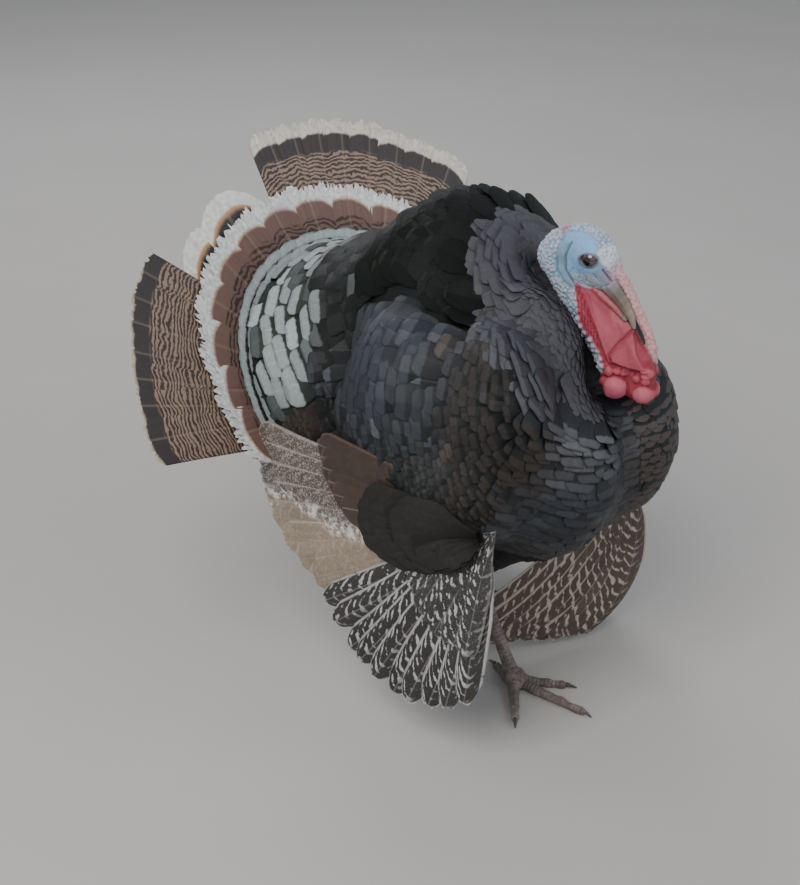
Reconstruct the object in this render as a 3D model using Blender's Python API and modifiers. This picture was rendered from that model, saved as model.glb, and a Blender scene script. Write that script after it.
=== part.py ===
"""Life-size museum model of a turkey tom in full display, standing in mid step.

Everything is modelled in the bird's own frame, in metres: +X is the bird's left, -Y is
the way it faces and +Z is up, with the floor at zero.  The soft outer form of the body
and of each folded wing is a blend of rounded lobes, taken out to the tips of the
feathers.  The spread quills of tail and wings are thin polar sheets with one rounded
tip for each feather.  Blended forms are parted with thin cuts, so neighbours meet with
a small gap and never overlap.
"""
import math

import bmesh
import bpy
from mathutils import Euler, Matrix, Vector

NAME = "turkey"
GAP = 0.0004                 # clearance between solids that meet

# Tail fan: a shallow dish that leans back, open towards the head.
FAN_ROOT = Vector((0.0, 0.25, 0.27))
FAN_LEAN = math.radians(43)
FAN_DISH = math.radians(11.5)
QUILL_THICKNESS = 0.0014
TAIL_INNER = 0.04
COVERT_LIFT = 0.006

# Wings: the quills spread from the wrist.  The right ones fan back along the bird's
# side; the left ones hang lower and curl in under the belly, with tips at the floor.
WING_THICKNESS = 0.0014
WING_BULGE = 0.035           # how far a spread sheet swells outwards
WRIST = {-1: Vector((-0.172, -0.100, 0.300)), 1: Vector((0.145, -0.055, 0.222))}
BACKWARD = Vector((0.0, 1.0, 0.0))
INWARD = Vector((-0.88, 0.47, 0.0))
WING_SHIFT = {-1: Vector((0, 0, 0)), 1: Vector((-0.024, 0.056, -0.008))}

# Head: a frame with its own axes, turned a little to the bird's left and bowed.
SKULL = Vector((0.002, -0.068, 0.545))
HEAD_YAW = math.radians(6)
HEAD_BOW = math.radians(39)
EYE_RADIUS = 0.0090
EYE_SPREAD = 0.0158

# Legs, by side: +1 is the bird's left.  The right foot is a stride ahead.
FOOT_PAD = {-1: Vector((-0.035, -0.020, 0.0)), 1: Vector((0.040, 0.172, 0.0))}
SHANK_LENGTH = 0.165
SHANK_LEAN = {-1: math.radians(26), 1: math.radians(-8)}
TOE_LENGTH = {"mid": 0.092, "outer": 0.071, "inner": 0.057, "hind": 0.034}
TOE_TURN = {"mid": -4, "outer": 49, "inner": -34, "hind": 196}
CLAW_LENGTH = 0.019

SIDES = {"left": 1, "right": -1}

# Folded arm of a wing with its coverts, on the bird's left: centres and radii.
WING_LOBES = (
    ((0.125, -0.040, 0.410), (0.068, 0.088, 0.090)),
    ((0.138, 0.020, 0.390), (0.072, 0.105, 0.105)),
    ((0.142, -0.015, 0.330), (0.066, 0.098, 0.090)),
    ((0.150, 0.060, 0.355), (0.060, 0.080, 0.080)),
)

COLOURS = {
    "black_plumage": ((0.020, 0.021, 0.024), 0.55),
    "slate_plumage": ((0.045, 0.052, 0.064), 0.55),
    "tail_plumage": ((0.210, 0.140, 0.095), 0.65),
    "rump_plumage": ((0.230, 0.240, 0.225), 0.45),
    "chestnut_plumage": ((0.180, 0.085, 0.062), 0.65),
    "barred_plumage": ((0.160, 0.145, 0.130), 0.65),
    "blue_skin": ((0.420, 0.560, 0.700), 0.50),
    "red_skin": ((0.640, 0.110, 0.120), 0.42),
    "bill_horn": ((0.330, 0.280, 0.240), 0.45),
    "eye": ((0.030, 0.018, 0.012), 0.08),
    "leg_scale": ((0.150, 0.120, 0.110), 0.60),
    "claw": ((0.045, 0.036, 0.032), 0.40),
}


def clear_scene():
    for old in list(bpy.data.objects):
        bpy.data.objects.remove(old, do_unlink=True)


def collection(name):
    made = bpy.data.collections.new(name)
    bpy.context.scene.collection.children.link(made)
    return made


clear_scene()
PARTS = collection(NAME)
CUTTERS = collection(NAME + "_cutters")
MATERIALS = {}


def material(slot):
    if slot not in MATERIALS:
        colour, roughness = COLOURS[slot]
        made = bpy.data.materials.new(slot)
        made.use_nodes = True
        shader = made.node_tree.nodes["Principled BSDF"]
        shader.inputs["Base Color"].default_value = (*colour, 1.0)
        shader.inputs["Roughness"].default_value = roughness
        shader.inputs["Metallic"].default_value = 0.0
        MATERIALS[slot] = made
    return MATERIALS[slot]


def new_object(name, mesh, home=None):
    made = bpy.data.objects.new(name, mesh)
    (home or PARTS).objects.link(made)
    return made


def object_from_bmesh(name, bm, home=None):
    mesh = bpy.data.meshes.new(name)
    bm.to_mesh(mesh)
    bm.free()
    return new_object(name, mesh, home)


def freeze(obj):
    """Replaces the object's mesh with what its modifiers make of it."""
    graph = bpy.context.evaluated_depsgraph_get()
    solid = bpy.data.meshes.new_from_object(obj.evaluated_get(graph))
    obj.modifiers.clear()
    obj.data = solid
    return obj


def largest_body(obj):
    """Drops loose crumbs and keeps the biggest connected piece."""
    bm = bmesh.new()
    bm.from_mesh(obj.data)
    bmesh.ops.remove_doubles(bm, verts=bm.verts, dist=0.000002)
    seen = set()
    groups = []
    for start in bm.verts:
        if start in seen:
            continue
        seen.add(start)
        group = [start]
        for vert in group:
            for edge in vert.link_edges:
                other = edge.other_vert(vert)
                if other not in seen:
                    seen.add(other)
                    group.append(other)
        groups.append(group)
    groups.sort(key=len)
    loose = [vert for group in groups[:-1] for vert in group]
    bmesh.ops.delete(bm, geom=loose, context="VERTS")
    bmesh.ops.triangulate(bm, faces=bm.faces)
    bm.to_mesh(obj.data)
    bm.free()
    return obj


def finish(obj, slot):
    obj.data.materials.clear()
    obj.data.materials.append(material(slot))
    for face in obj.data.polygons:
        face.use_smooth = True
    return obj


def add_lobe(bm, centre, radii, turn=(0, 0, 0), steps=(20, 12)):
    """One rounded lobe: a sphere drawn out to three radii and turned in degrees."""
    spin = Euler([math.radians(angle) for angle in turn]).to_matrix().to_4x4()
    place = Matrix.Translation(centre) @ spin @ Matrix.Diagonal((*radii, 1.0))
    bmesh.ops.create_uvsphere(bm, u_segments=steps[0], v_segments=steps[1], radius=1.0, matrix=place)


def blend(name, lobes, voxel, smoothing, triangles, home=None):
    """Melts lobes into one smooth closed form of about the given triangle count."""
    bm = bmesh.new()
    for lobe in lobes:
        add_lobe(bm, *lobe)
    obj = object_from_bmesh(name, bm, home)
    melt = obj.modifiers.new("melt", "REMESH")
    melt.mode = "VOXEL"
    melt.voxel_size = voxel
    relax = obj.modifiers.new("relax", "SMOOTH")
    relax.factor = 0.5
    relax.iterations = smoothing
    freeze(obj)
    faces = sum(len(face.vertices) - 2 for face in obj.data.polygons)
    thin = obj.modifiers.new("thin", "DECIMATE")
    thin.ratio = min(1.0, triangles / faces)
    thin.use_collapse_triangulate = True
    return freeze(obj)


def keep_side(obj, point, normal):
    """Cuts the solid with a plane, keeps what lies against the normal and caps it."""
    bm = bmesh.new()
    bm.from_mesh(obj.data)
    cut = bmesh.ops.bisect_plane(
        bm, geom=bm.verts[:] + bm.edges[:] + bm.faces[:], dist=1e-6,
        plane_co=point - normal * GAP / 2, plane_no=normal, clear_outer=True)
    rim = [item for item in cut["geom_cut"] if isinstance(item, bmesh.types.BMEdge)]
    caps = bmesh.ops.holes_fill(bm, edges=rim, sides=0)["faces"]
    bmesh.ops.triangulate(bm, faces=caps)
    bmesh.ops.recalc_face_normals(bm, faces=bm.faces)
    bm.to_mesh(obj.data)
    bm.free()
    return obj


def duplicate(obj, name, home=None):
    return new_object(name, obj.data.copy(), home)


def split(obj, name, point, normal):
    """Parts a solid in two at a plane; the far part takes the new name."""
    normal = Vector(normal).normalized()
    far = duplicate(obj, name)
    keep_side(obj, Vector(point), normal)
    keep_side(far, Vector(point), -normal)
    return far


def swollen(obj, gap=GAP):
    """A cutter in the shape of a finished solid, larger by the gap."""
    cutter = duplicate(obj, obj.name + "_cutter", CUTTERS)
    bm = bmesh.new()
    bm.from_mesh(cutter.data)
    bm.normal_update()
    for vert, normal in [(vert, vert.normal.copy()) for vert in bm.verts]:
        vert.co += normal * gap
    bm.to_mesh(cutter.data)
    bm.free()
    cutter.hide_render = True
    cutter.display_type = "WIRE"
    return cutter


def near(first, second):
    """Whether the boxes round two solids touch."""
    spans = []
    for obj in (first, second):
        places = [vert.co for vert in obj.data.vertices]
        spans.append([(min(p[axis] for p in places), max(p[axis] for p in places)) for axis in range(3)])
    return all(a[0] < b[1] and b[0] < a[1] for a, b in zip(*spans))


def carve(obj, *blockers):
    """Takes the room of earlier solids, and the gap round them, out of a later one."""
    for blocker in blockers:
        if not near(obj, blocker):
            continue
        cut = obj.modifiers.new("clear", "BOOLEAN")
        cut.operation = "DIFFERENCE"
        cut.solver = "EXACT"
        cut.object = blocker
        freeze(obj)
        largest_body(obj)
    return obj


def fit(obj, slot, blockers):
    """Clears a solid of earlier ones and returns the cutter of its full shape."""
    cutter = swollen(obj)
    carve(obj, *blockers)
    finish(obj, slot)
    return cutter


# ---------------------------------------------------------------- body

def body_lobes():
    lobes = [
        ((0, 0.055, 0.300), (0.150, 0.190, 0.150)),
        ((0, 0.083, 0.428), (0.140, 0.132, 0.147)),
        ((0, 0.130, 0.430), (0.115, 0.110, 0.120)),
        ((0, 0.016, 0.430), (0.085, 0.108, 0.110)),
    ]
    for side in SIDES.values():
        lobes.append(((side * 0.058, -0.060, 0.325), (0.077, 0.098, 0.120)))
        lobes.append(((side * 0.080, 0.060, 0.230), (0.075, 0.110, 0.090)))
        lobes.append(((side * 0.046, -0.040, 0.432), (0.050, 0.076, 0.092)))
        for centre, radii in WING_LOBES:
            lobes.append((Vector((side * centre[0], *centre[1:])) + WING_SHIFT[side], radii))
    up, out = fan_axes()
    for depth, radius, height, thickness in (
            (0.040, 0.205, 0.180, 0.034),
            (0.075, 0.180, 0.160, 0.050),
            (0.120, 0.150, 0.140, 0.090)):
        centre = FAN_ROOT + out * depth + up * 0.035
        lobes.append((centre, (radius, height, thickness), (fan_turn(), 0, 0)))
    return lobes


def fan_axes():
    """Directions in the tail's plane: up along the middle quill, and out to the head."""
    up = Vector((0, math.sin(FAN_LEAN), math.cos(FAN_LEAN)))
    out = Vector((0, -math.cos(FAN_LEAN), math.sin(FAN_LEAN)))
    return up, out


def fan_turn():
    """Rotation about X, in degrees, that lays a lobe's Z radius along the fan's axis."""
    return math.degrees(math.atan2(math.cos(FAN_LEAN), math.sin(FAN_LEAN)))


def fan_slab(name, lift, depth):
    """A thick sector with the tail's dished face at a lift, used as a cutter."""
    out = fan_axes()[1]
    bm = bmesh.new()
    bmesh.ops.create_grid(bm, x_segments=24, y_segments=1, size=0.5)
    for vert in bm.verts:
        vert.co = fan_point(vert.co.x * math.radians(194), 0.20 + vert.co.y * 0.39, lift)
    shell = bmesh.ops.extrude_face_region(bm, geom=bm.faces[:])["geom"]
    moved = [item for item in shell if isinstance(item, bmesh.types.BMVert)]
    bmesh.ops.translate(bm, verts=moved, vec=out * depth)
    bmesh.ops.recalc_face_normals(bm, faces=bm.faces)
    cutter = object_from_bmesh(name, bm, CUTTERS)
    cutter.hide_render = True
    cutter.display_type = "WIRE"
    return cutter


def build_body(head_cutter):
    """The whole feathered body with room for head and tail, and the cutter it makes."""
    body = blend("trunk", body_lobes(), 0.012, 8, 1000)
    carve(body, fan_slab("behind_fan", COVERT_LIFT + 0.0022, -0.35))
    cutter = swollen(body)
    carve(body, head_cutter)
    return body, cutter


def part_body(body):
    """Divides the body with thin plane cuts into the regions that a person would name."""
    rump = split(body, "rump", (0, 0.160, 0.40), (0, 1, 0.35))
    thigh = split(body, "thigh_right", (0, 0, 0.238), (0, 0, -1))
    other = split(thigh, "thigh_left", (0, 0, 0), (1, 0, 0))
    back = split(body, "back", (0, 0.06, 0.478), (0, -0.35, 1))
    collar = split(back, "neck_feathered", (0, -0.012, 0.46), (0, -1, 0.1))
    wings = []
    for name, side in SIDES.items():
        wings.append(split(body, "wing_" + name, (side * 0.142, -0.10, 0.38), (side, 0.30, 0.25)))
    breast = split(body, "breast", (0, -0.010, 0.35), (0, -1, 0.05))
    finish(rump, "rump_plumage")
    for obj in (body, back, thigh, other):
        finish(obj, "black_plumage")
    for obj in (breast, collar, *wings):
        finish(obj, "slate_plumage")


# ---------------------------------------------------------------- head and neck

def head_axes():
    """The head's own directions: ahead along the bill, up, and to the bird's right."""
    level = Vector((math.sin(HEAD_YAW), -math.cos(HEAD_YAW), 0))
    down = Vector((0, 0, -1))
    ahead = level * math.cos(HEAD_BOW) + down * math.sin(HEAD_BOW)
    up = level * math.sin(HEAD_BOW) - down * math.cos(HEAD_BOW)
    return ahead, up, ahead.cross(up)


def head_point(ahead, up, side=0.0):
    along, upward, right = head_axes()
    return SKULL + along * ahead + upward * up + right * side


def head_lobe(ahead, up, side, long, high, wide, pitch=0.0):
    """A lobe given in the head's frame; pitch tips its front end up, in degrees."""
    along, upward, right = head_axes()
    turn = Matrix((-right, -along, upward)).transposed()
    tilt = Matrix.Rotation(-math.radians(pitch), 3, "X")
    angles = [math.degrees(angle) for angle in (turn @ tilt).to_euler()]
    return (head_point(ahead, up, side), (wide, long, high), angles)


def tube(name, path, resolution=2):
    """A tapering tube through (point, radius) pairs, with welded end caps."""
    curve = bpy.data.curves.new(name, "CURVE")
    curve.dimensions = "3D"
    curve.bevel_depth = 1.0
    curve.bevel_resolution = resolution
    curve.use_fill_caps = True
    spline = curve.splines.new("POLY")
    spline.points.add(len(path) - 1)
    for knot, (point, radius) in zip(spline.points, path):
        knot.co = (*point, 1.0)
        knot.radius = radius
    bent = new_object(name + "_path", curve, CUTTERS)
    graph = bpy.context.evaluated_depsgraph_get()
    mesh = bpy.data.meshes.new_from_object(bent.evaluated_get(graph))
    bpy.data.objects.remove(bent, do_unlink=True)
    bm = bmesh.new()
    bm.from_mesh(mesh)
    bmesh.ops.remove_doubles(bm, verts=bm.verts, dist=0.0001)
    bmesh.ops.recalc_face_normals(bm, faces=bm.faces)
    bmesh.ops.triangulate(bm, faces=bm.faces)
    bm.to_mesh(mesh)
    bm.free()
    return new_object(name, mesh)


def squash(obj, centre, direction, factor):
    """Flattens a solid along one direction about a point."""
    axis = Vector(direction).normalized()
    for vert in obj.data.vertices:
        vert.co -= axis * (vert.co - centre).dot(axis) * (1.0 - factor)
    return obj


def build_eyes():
    cutters = []
    for name, side in SIDES.items():
        bm = bmesh.new()
        bmesh.ops.create_icosphere(
            bm, subdivisions=2, radius=EYE_RADIUS,
            matrix=Matrix.Translation(head_point(0.008, 0.006, -side * EYE_SPREAD)))
        cutters.append(fit(object_from_bmesh("eye_" + name, bm), "eye", ()))
    return cutters


def build_head(eyes):
    head = blend("head", [
        head_lobe(0.003, 0.001, 0, 0.037, 0.0270, 0.0215, 6),
        head_lobe(-0.020, -0.022, 0, 0.024, 0.027, 0.0210),
        head_lobe(0.020, -0.001, 0, 0.0245, 0.022, 0.0160, -12),
        head_lobe(0.004, -0.019, 0, 0.027, 0.017, 0.0190),
    ], 0.004, 3, 290)
    return fit(head, "blue_skin", eyes)


def build_bill(head):
    right = head_axes()[2]
    upper = tube("bill_upper", [
        (head_point(0.026, -0.003), 0.0150), (head_point(0.045, -0.003), 0.0120),
        (head_point(0.064, -0.005), 0.0090), (head_point(0.079, -0.010), 0.0056),
        (head_point(0.091, -0.018), 0.0018)])
    lower = tube("bill_lower", [
        (head_point(0.022, -0.0215), 0.0062), (head_point(0.042, -0.0200), 0.0055),
        (head_point(0.062, -0.0180), 0.0042), (head_point(0.079, -0.0190), 0.0020)])
    squash(upper, head_point(0.05, 0), right, 0.80)
    squash(lower, head_point(0.05, 0), right, 1.25)
    above = fit(upper, "bill_horn", [head])
    return above, fit(lower, "bill_horn", [head, above])


def build_neck(blockers):
    neck = tube("neck_bare", [
        (head_point(-0.016, -0.024), 0.0180), (head_point(0.000, -0.036), 0.0200),
        (head_point(0.036, -0.043), 0.0205), (head_point(0.074, -0.047), 0.0205),
        (head_point(0.106, -0.061), 0.0210), (head_point(0.128, -0.086), 0.0210)])
    return fit(neck, "red_skin", blockers)


def build_wattle(blockers):
    wattle = blend("wattle", [
        head_lobe(0.050, -0.032, 0, 0.034, 0.011, 0.0070, -4),
        head_lobe(0.088, -0.035, 0, 0.034, 0.018, 0.0085, -8),
        head_lobe(0.122, -0.045, 0, 0.032, 0.022, 0.0120, -25),
        head_lobe(0.140, -0.062, 0, 0.021, 0.020, 0.0150),
    ], 0.005, 2, 170)
    return fit(wattle, "red_skin", blockers)


def build_caruncles(blockers):
    bulbs = blend("caruncles", [
        head_lobe(0.134, -0.078, 0.010, 0.013, 0.012, 0.012),
        head_lobe(0.150, -0.070, -0.006, 0.012, 0.011, 0.012),
        head_lobe(0.128, -0.078, -0.010, 0.012, 0.012, 0.012),
    ], 0.005, 2, 90)
    return fit(bulbs, "red_skin", blockers)


def build_snood(blockers):
    snood = tube("snood", [
        (head_point(0.028, 0.014), 0.0050), (head_point(0.046, 0.0100, 0.000), 0.0062),
        (head_point(0.064, 0.0035, -0.002), 0.0058), (head_point(0.084, -0.004, -0.004), 0.0050),
        (head_point(0.102, -0.011, -0.005), 0.0050), (head_point(0.118, -0.020, -0.005), 0.0055),
        (head_point(0.128, -0.031, -0.005), 0.0055), (head_point(0.132, -0.037, -0.005), 0.0030)], 1)
    return fit(snood, "blue_skin", blockers)


# ---------------------------------------------------------------- tail

def fan_point(angle, radius, lift=0.0):
    """A point of the tail; the angle is from the middle quill to the bird's right."""
    up, out = fan_axes()
    flat = Vector((-math.sin(angle), 0, 0)) + up * math.cos(angle)
    return FAN_ROOT + flat * radius + out * (radius * math.tan(FAN_DISH) + lift)


def fringe(angle, edges, tip):
    """Fraction of the radius at an angle, with one rounded tip between two edges."""
    for start, end in zip(edges, edges[1:]):
        if start <= angle <= end:
            across = 2 * (angle - start) / (end - start) - 1
            return 1.0 - tip * across ** 4
    return 1.0 - tip


def polar_sheet(name, first, last, feathers, rows, place, thickness, tip=0.05, columns=3):
    """A spread of feathers as one thin solid; place(angle, share) gives its points."""
    edges = [first + (last - first) * index / feathers for index in range(feathers + 1)]
    bm = bmesh.new()
    bmesh.ops.create_grid(bm, x_segments=feathers * columns, y_segments=rows, size=0.5)
    for vert in bm.verts:
        angle = first + (last - first) * (vert.co.x + 0.5)
        angle = min(max(angle, first), last)
        share = vert.co.y + 0.5
        vert.co = place(angle, share * fringe(angle, edges, tip))
    bmesh.ops.recalc_face_normals(bm, faces=bm.faces)
    obj = object_from_bmesh(name, bm)
    wall = obj.modifiers.new("thickness", "SOLIDIFY")
    wall.thickness = thickness
    wall.offset = 0.0
    freeze(obj)
    return largest_body(obj)


def tail_group(name, first, last, feathers, reach, lift=0.0):
    """Quills between two angles in degrees, reaching to the radii at both ends."""
    low, high = math.radians(first), math.radians(last)

    def place(angle, share):
        across = (angle - low) / (high - low)
        outer = reach[0] + (reach[1] - reach[0]) * across
        return fan_point(angle, TAIL_INNER + (outer - TAIL_INNER) * share, lift)

    return polar_sheet(name, low, high, feathers, 1, place, QUILL_THICKNESS, columns=4)


def build_tail(flesh):
    groups = [
        tail_group("tail_right", 45, 85, 7, (0.342, 0.360)),
        tail_group("tail_lone", 5, 40, 2, (0.304, 0.304), -0.004),
        tail_group("tail_top", -52, 1.5, 7, (0.368, 0.345)),
        tail_group("tail_left", -85, -53, 5, (0.350, 0.326), -0.004),
    ]
    return [fit(group, "tail_plumage", flesh) for group in groups]


def build_tail_coverts(flesh):
    """The deep band of coverts that lies on the roots of the tail quills."""
    low, high = math.radians(-92), math.radians(92)

    def place(angle, share):
        reach = 0.262 - 0.030 * abs(math.sin(angle)) ** 6
        radius = 0.10 + (reach - 0.10) * share
        return fan_point(angle, radius, COVERT_LIFT)

    coverts = polar_sheet("tail_coverts", low, high, 14, 1, place, 0.003, 0.06)
    return fit(coverts, "chestnut_plumage", flesh)


def build_undertail(flesh):
    up, out = fan_axes()
    lobes = []
    for rise, depth, wide, high, thick in (
            (0.045, -0.004, 0.085, 0.075, 0.024),
            (-0.010, -0.014, 0.075, 0.060, 0.040),
            (-0.055, 0.000, 0.070, 0.055, 0.050)):
        centre = FAN_ROOT + up * rise + out * depth
        lobes.append((centre, (wide, high, thick), (fan_turn(), 0, 0)))
    soft = blend("undertail", lobes, 0.010, 4, 120)
    return fit(soft, "barred_plumage", flesh)


# ---------------------------------------------------------------- wings

def wing_quills(name, side, spread, feathers, reach, inner, heading, curl, blockers):
    """A spread of quills; angles run from straight down towards the heading."""
    low, high = (math.radians(angle) for angle in spread)
    outward = Vector((side, 0, 0)) if heading is BACKWARD else Vector((0, 0, 0))

    def place(angle, share):
        across = (angle - low) / (high - low)
        radius = inner + (blend_ends(reach, across) - inner) * share
        bent = angle + math.radians(blend_ends(curl, across)) * share ** 2
        swell = WING_BULGE * math.sin(min(radius / 0.30, 1.0) * math.pi / 2)
        drop = Vector((0, 0, -math.cos(bent))) + heading * math.sin(bent)
        return WRIST[side] + drop * radius + outward * swell

    quills = polar_sheet(name, low, high, feathers, 3, place, WING_THICKNESS, 0.07)
    return fit(quills, "barred_plumage", blockers)


def blend_ends(ends, share):
    """A quantity that swells between its two end values: (start, middle, end)."""
    start, middle, end = ends
    bow = middle - (start + end) / 2
    return start + (end - start) * share + bow * 4 * share * (1 - share)


def build_wing(name, blockers):
    side = SIDES[name]
    if name == "right":
        wing_quills("primaries_right", side, (2, 55), 9, (0.194, 0.272, 0.272), 0.05,
                    BACKWARD, (0, 0, 0), blockers)
        wing_quills("secondaries_right", side, (56, 96), 6, (0.262, 0.315, 0.330), 0.08,
                    BACKWARD, (0, 0, 0), blockers)
    else:
        wing_quills("primaries_left", side, (-8, 50), 8, (0.222, 0.252, 0.312), 0.04,
                    INWARD, (22, 14, 6), blockers)
        wing_quills("secondaries_left", side, (24, 100), 8, (0.205, 0.285, 0.330), 0.08,
                    BACKWARD, (0, 0, 0), blockers)


# ---------------------------------------------------------------- legs

def build_foot(name):
    side = SIDES[name]
    pad = FOOT_PAD[side]
    lobes = [((pad.x, pad.y, 0.011), (0.014, 0.016, 0.013))]
    claws = []
    for toe, length in TOE_LENGTH.items():
        turn = math.radians(TOE_TURN[toe]) * side
        ahead = Vector((math.sin(turn), -math.cos(turn), 0))
        joints = 7
        for index in range(joints + 1):
            share = index / joints
            thick = 0.0080 - 0.0026 * share + 0.0006 * math.cos(share * 6 * math.pi)
            centre = pad + ahead * (length * share)
            lobes.append(((centre.x, centre.y, thick * 0.68), (thick, length / joints, thick),
                          (0, 0, math.degrees(turn))))
        claws.append((toe, pad + ahead * length, ahead))
    foot = blend("foot_" + name, lobes, 0.0025, 2, 290)
    for vert in foot.data.vertices:
        vert.co.z = max(vert.co.z, 0.0)
    largest_body(foot)
    return fit(foot, "leg_scale", ()), claws


def build_claws(name, claws, foot):
    for toe, root, ahead in claws:
        up = Vector((0, 0, 1))
        claw = tube("claw_" + toe + "_" + name, [
            (root + up * 0.0040, 0.0034), (root + ahead * 0.007 + up * 0.0050, 0.0030),
            (root + ahead * 0.013 + up * 0.0040, 0.0020),
            (root + ahead * CLAW_LENGTH + up * 0.0014, 0.0008)], 1)
        for vert in claw.data.vertices:
            vert.co.z = max(vert.co.z, 0.0002)
        fit(claw, "claw", [foot])


def hock_point(side):
    lean = SHANK_LEAN[side]
    return FOOT_PAD[side] + Vector((side * 0.006, math.sin(lean), math.cos(lean))) * SHANK_LENGTH


def build_leg(name, flesh):
    side = SIDES[name]
    foot, claws = build_foot(name)
    build_claws(name, claws, foot)
    hock = hock_point(side)
    ankle = FOOT_PAD[side] + Vector((0, 0, 0.010))
    knee = hock + Vector((side * 0.010, -0.030, 0.060))
    shank = tube("shank_" + name, [
        (ankle, 0.0095), (ankle.lerp(hock, 0.12), 0.0082), (ankle.lerp(hock, 0.35), 0.0075),
        (ankle.lerp(hock, 0.70), 0.0078), (ankle.lerp(hock, 0.90), 0.0100),
        (hock, 0.0120), (hock.lerp(knee, 0.3), 0.0125), (knee, 0.0160)])
    limb = fit(shank, "leg_scale", [foot, *flesh])
    back = Vector((0, 1, 0.15))
    root = ankle.lerp(hock, 0.33)
    spur = tube("spur_" + name, [
        (root, 0.0042), (root + back * 0.011, 0.0036), (root + back * 0.017, 0.0018)], 1)
    fit(spur, "claw", [limb])


# ---------------------------------------------------------------- assembly

def centre_on_floor():
    """Moves every part so that the box's bottom centre is the origin."""
    corners = [vert.co for obj in PARTS.objects for vert in obj.data.vertices]
    low = [min(corner[axis] for corner in corners) for axis in range(3)]
    high = [max(corner[axis] for corner in corners) for axis in range(3)]
    shift = Vector((-(low[0] + high[0]) / 2, -(low[1] + high[1]) / 2, -low[2]))
    for obj in PARTS.objects:
        obj.data.transform(Matrix.Translation(shift))
    return shift


def main():
    head = build_head(build_eyes())
    body, body_cutter = build_body(head)
    part_body(body)
    mouth = [head, *build_bill(head)]
    neck = build_neck(mouth + [body_cutter])
    wattle = build_wattle(mouth + [neck, body_cutter])
    bulbs = build_caruncles([neck, wattle, body_cutter])
    build_snood(mouth + [wattle, bulbs])
    fan = [build_tail_coverts([body_cutter]), *build_tail([body_cutter])]
    undertail = build_undertail([body_cutter, fan_slab("before_fan", -0.0056, 0.35)])
    for name in SIDES:
        build_wing(name, [body_cutter, undertail] + fan)
        build_leg(name, [body_cutter])
    return centre_on_floor()


ORIGIN_SHIFT = main()
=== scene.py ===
# %% [markdown]
# # A turkey tom in display, dressed feather by feather
# The solid model gives every form its real size and place.  This lesson covers it: one
# skin for the body, one for the bare head and neck, and feathers as real mesh over both.
# The first cell loads the solids as a fixed frame that nothing below may move.

# %% Load the frame
import math

import bmesh
import bpy
import numpy as np
from mathutils import Matrix, Vector, noise
from mathutils.bvhtree import BVHTree
from mathutils.kdtree import KDTree


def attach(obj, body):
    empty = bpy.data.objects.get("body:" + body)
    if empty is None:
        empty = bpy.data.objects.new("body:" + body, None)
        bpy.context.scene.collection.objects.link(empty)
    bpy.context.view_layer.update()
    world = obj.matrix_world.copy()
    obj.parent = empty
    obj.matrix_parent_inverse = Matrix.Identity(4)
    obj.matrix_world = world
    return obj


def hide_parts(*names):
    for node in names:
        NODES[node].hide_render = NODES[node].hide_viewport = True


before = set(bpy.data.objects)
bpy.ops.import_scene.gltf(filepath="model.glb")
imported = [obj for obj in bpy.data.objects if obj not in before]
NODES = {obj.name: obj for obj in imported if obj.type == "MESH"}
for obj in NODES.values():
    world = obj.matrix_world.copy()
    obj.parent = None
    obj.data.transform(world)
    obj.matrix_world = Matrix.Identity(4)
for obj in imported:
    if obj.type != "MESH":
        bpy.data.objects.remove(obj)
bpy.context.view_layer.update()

# %% [markdown]
# The bird was modelled in its own frame: +X is its left, -Y the way it faces, +Z up.
# The whole was then shifted so that the middle of its footprint is the origin.  The
# same landmarks are needed here, so they are named once, shifted the same way.

# %% Landmarks
SHIFT = Vector((0.0053, -0.1390, 0.0))
FAN_ROOT = Vector((0.0, 0.25, 0.27)) + SHIFT
FAN_LEAN = math.radians(43)
FAN_DISH = math.radians(11.5)
FAN_UP = Vector((0, math.sin(FAN_LEAN), math.cos(FAN_LEAN)))
FAN_OUT = Vector((0, -math.cos(FAN_LEAN), math.sin(FAN_LEAN)))
WRIST = {-1: Vector((-0.172, -0.100, 0.300)) + SHIFT, 1: Vector((0.145, -0.055, 0.222)) + SHIFT}
WING_BULGE = 0.035
SKULL = Vector((0.002, -0.068, 0.545)) + SHIFT
HEAD_YAW = math.radians(6)
HEAD_BOW = math.radians(39)
level = Vector((math.sin(HEAD_YAW), -math.cos(HEAD_YAW), 0))
AHEAD = level * math.cos(HEAD_BOW) - Vector((0, 0, math.sin(HEAD_BOW)))
UPWARD = level * math.sin(HEAD_BOW) + Vector((0, 0, math.cos(HEAD_BOW)))
RIGHT = AHEAD.cross(UPWARD)
print("head points along", [round(value, 3) for value in AHEAD])

# %% [markdown]
# ## A small language for finishes
# A Blender material is a graph of nodes.  Written out link by link, it hides its own
# idea, so a class wraps a node's output and lets Python arithmetic add the Math nodes.
# A second class holds one material and adds any other node: its type, its settings,
# then the values or links of its sockets.

# %% Arithmetic on node outputs
FULL_TURN = 6.2832  # radians, for the sine waves that draw bars and barbs


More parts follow.
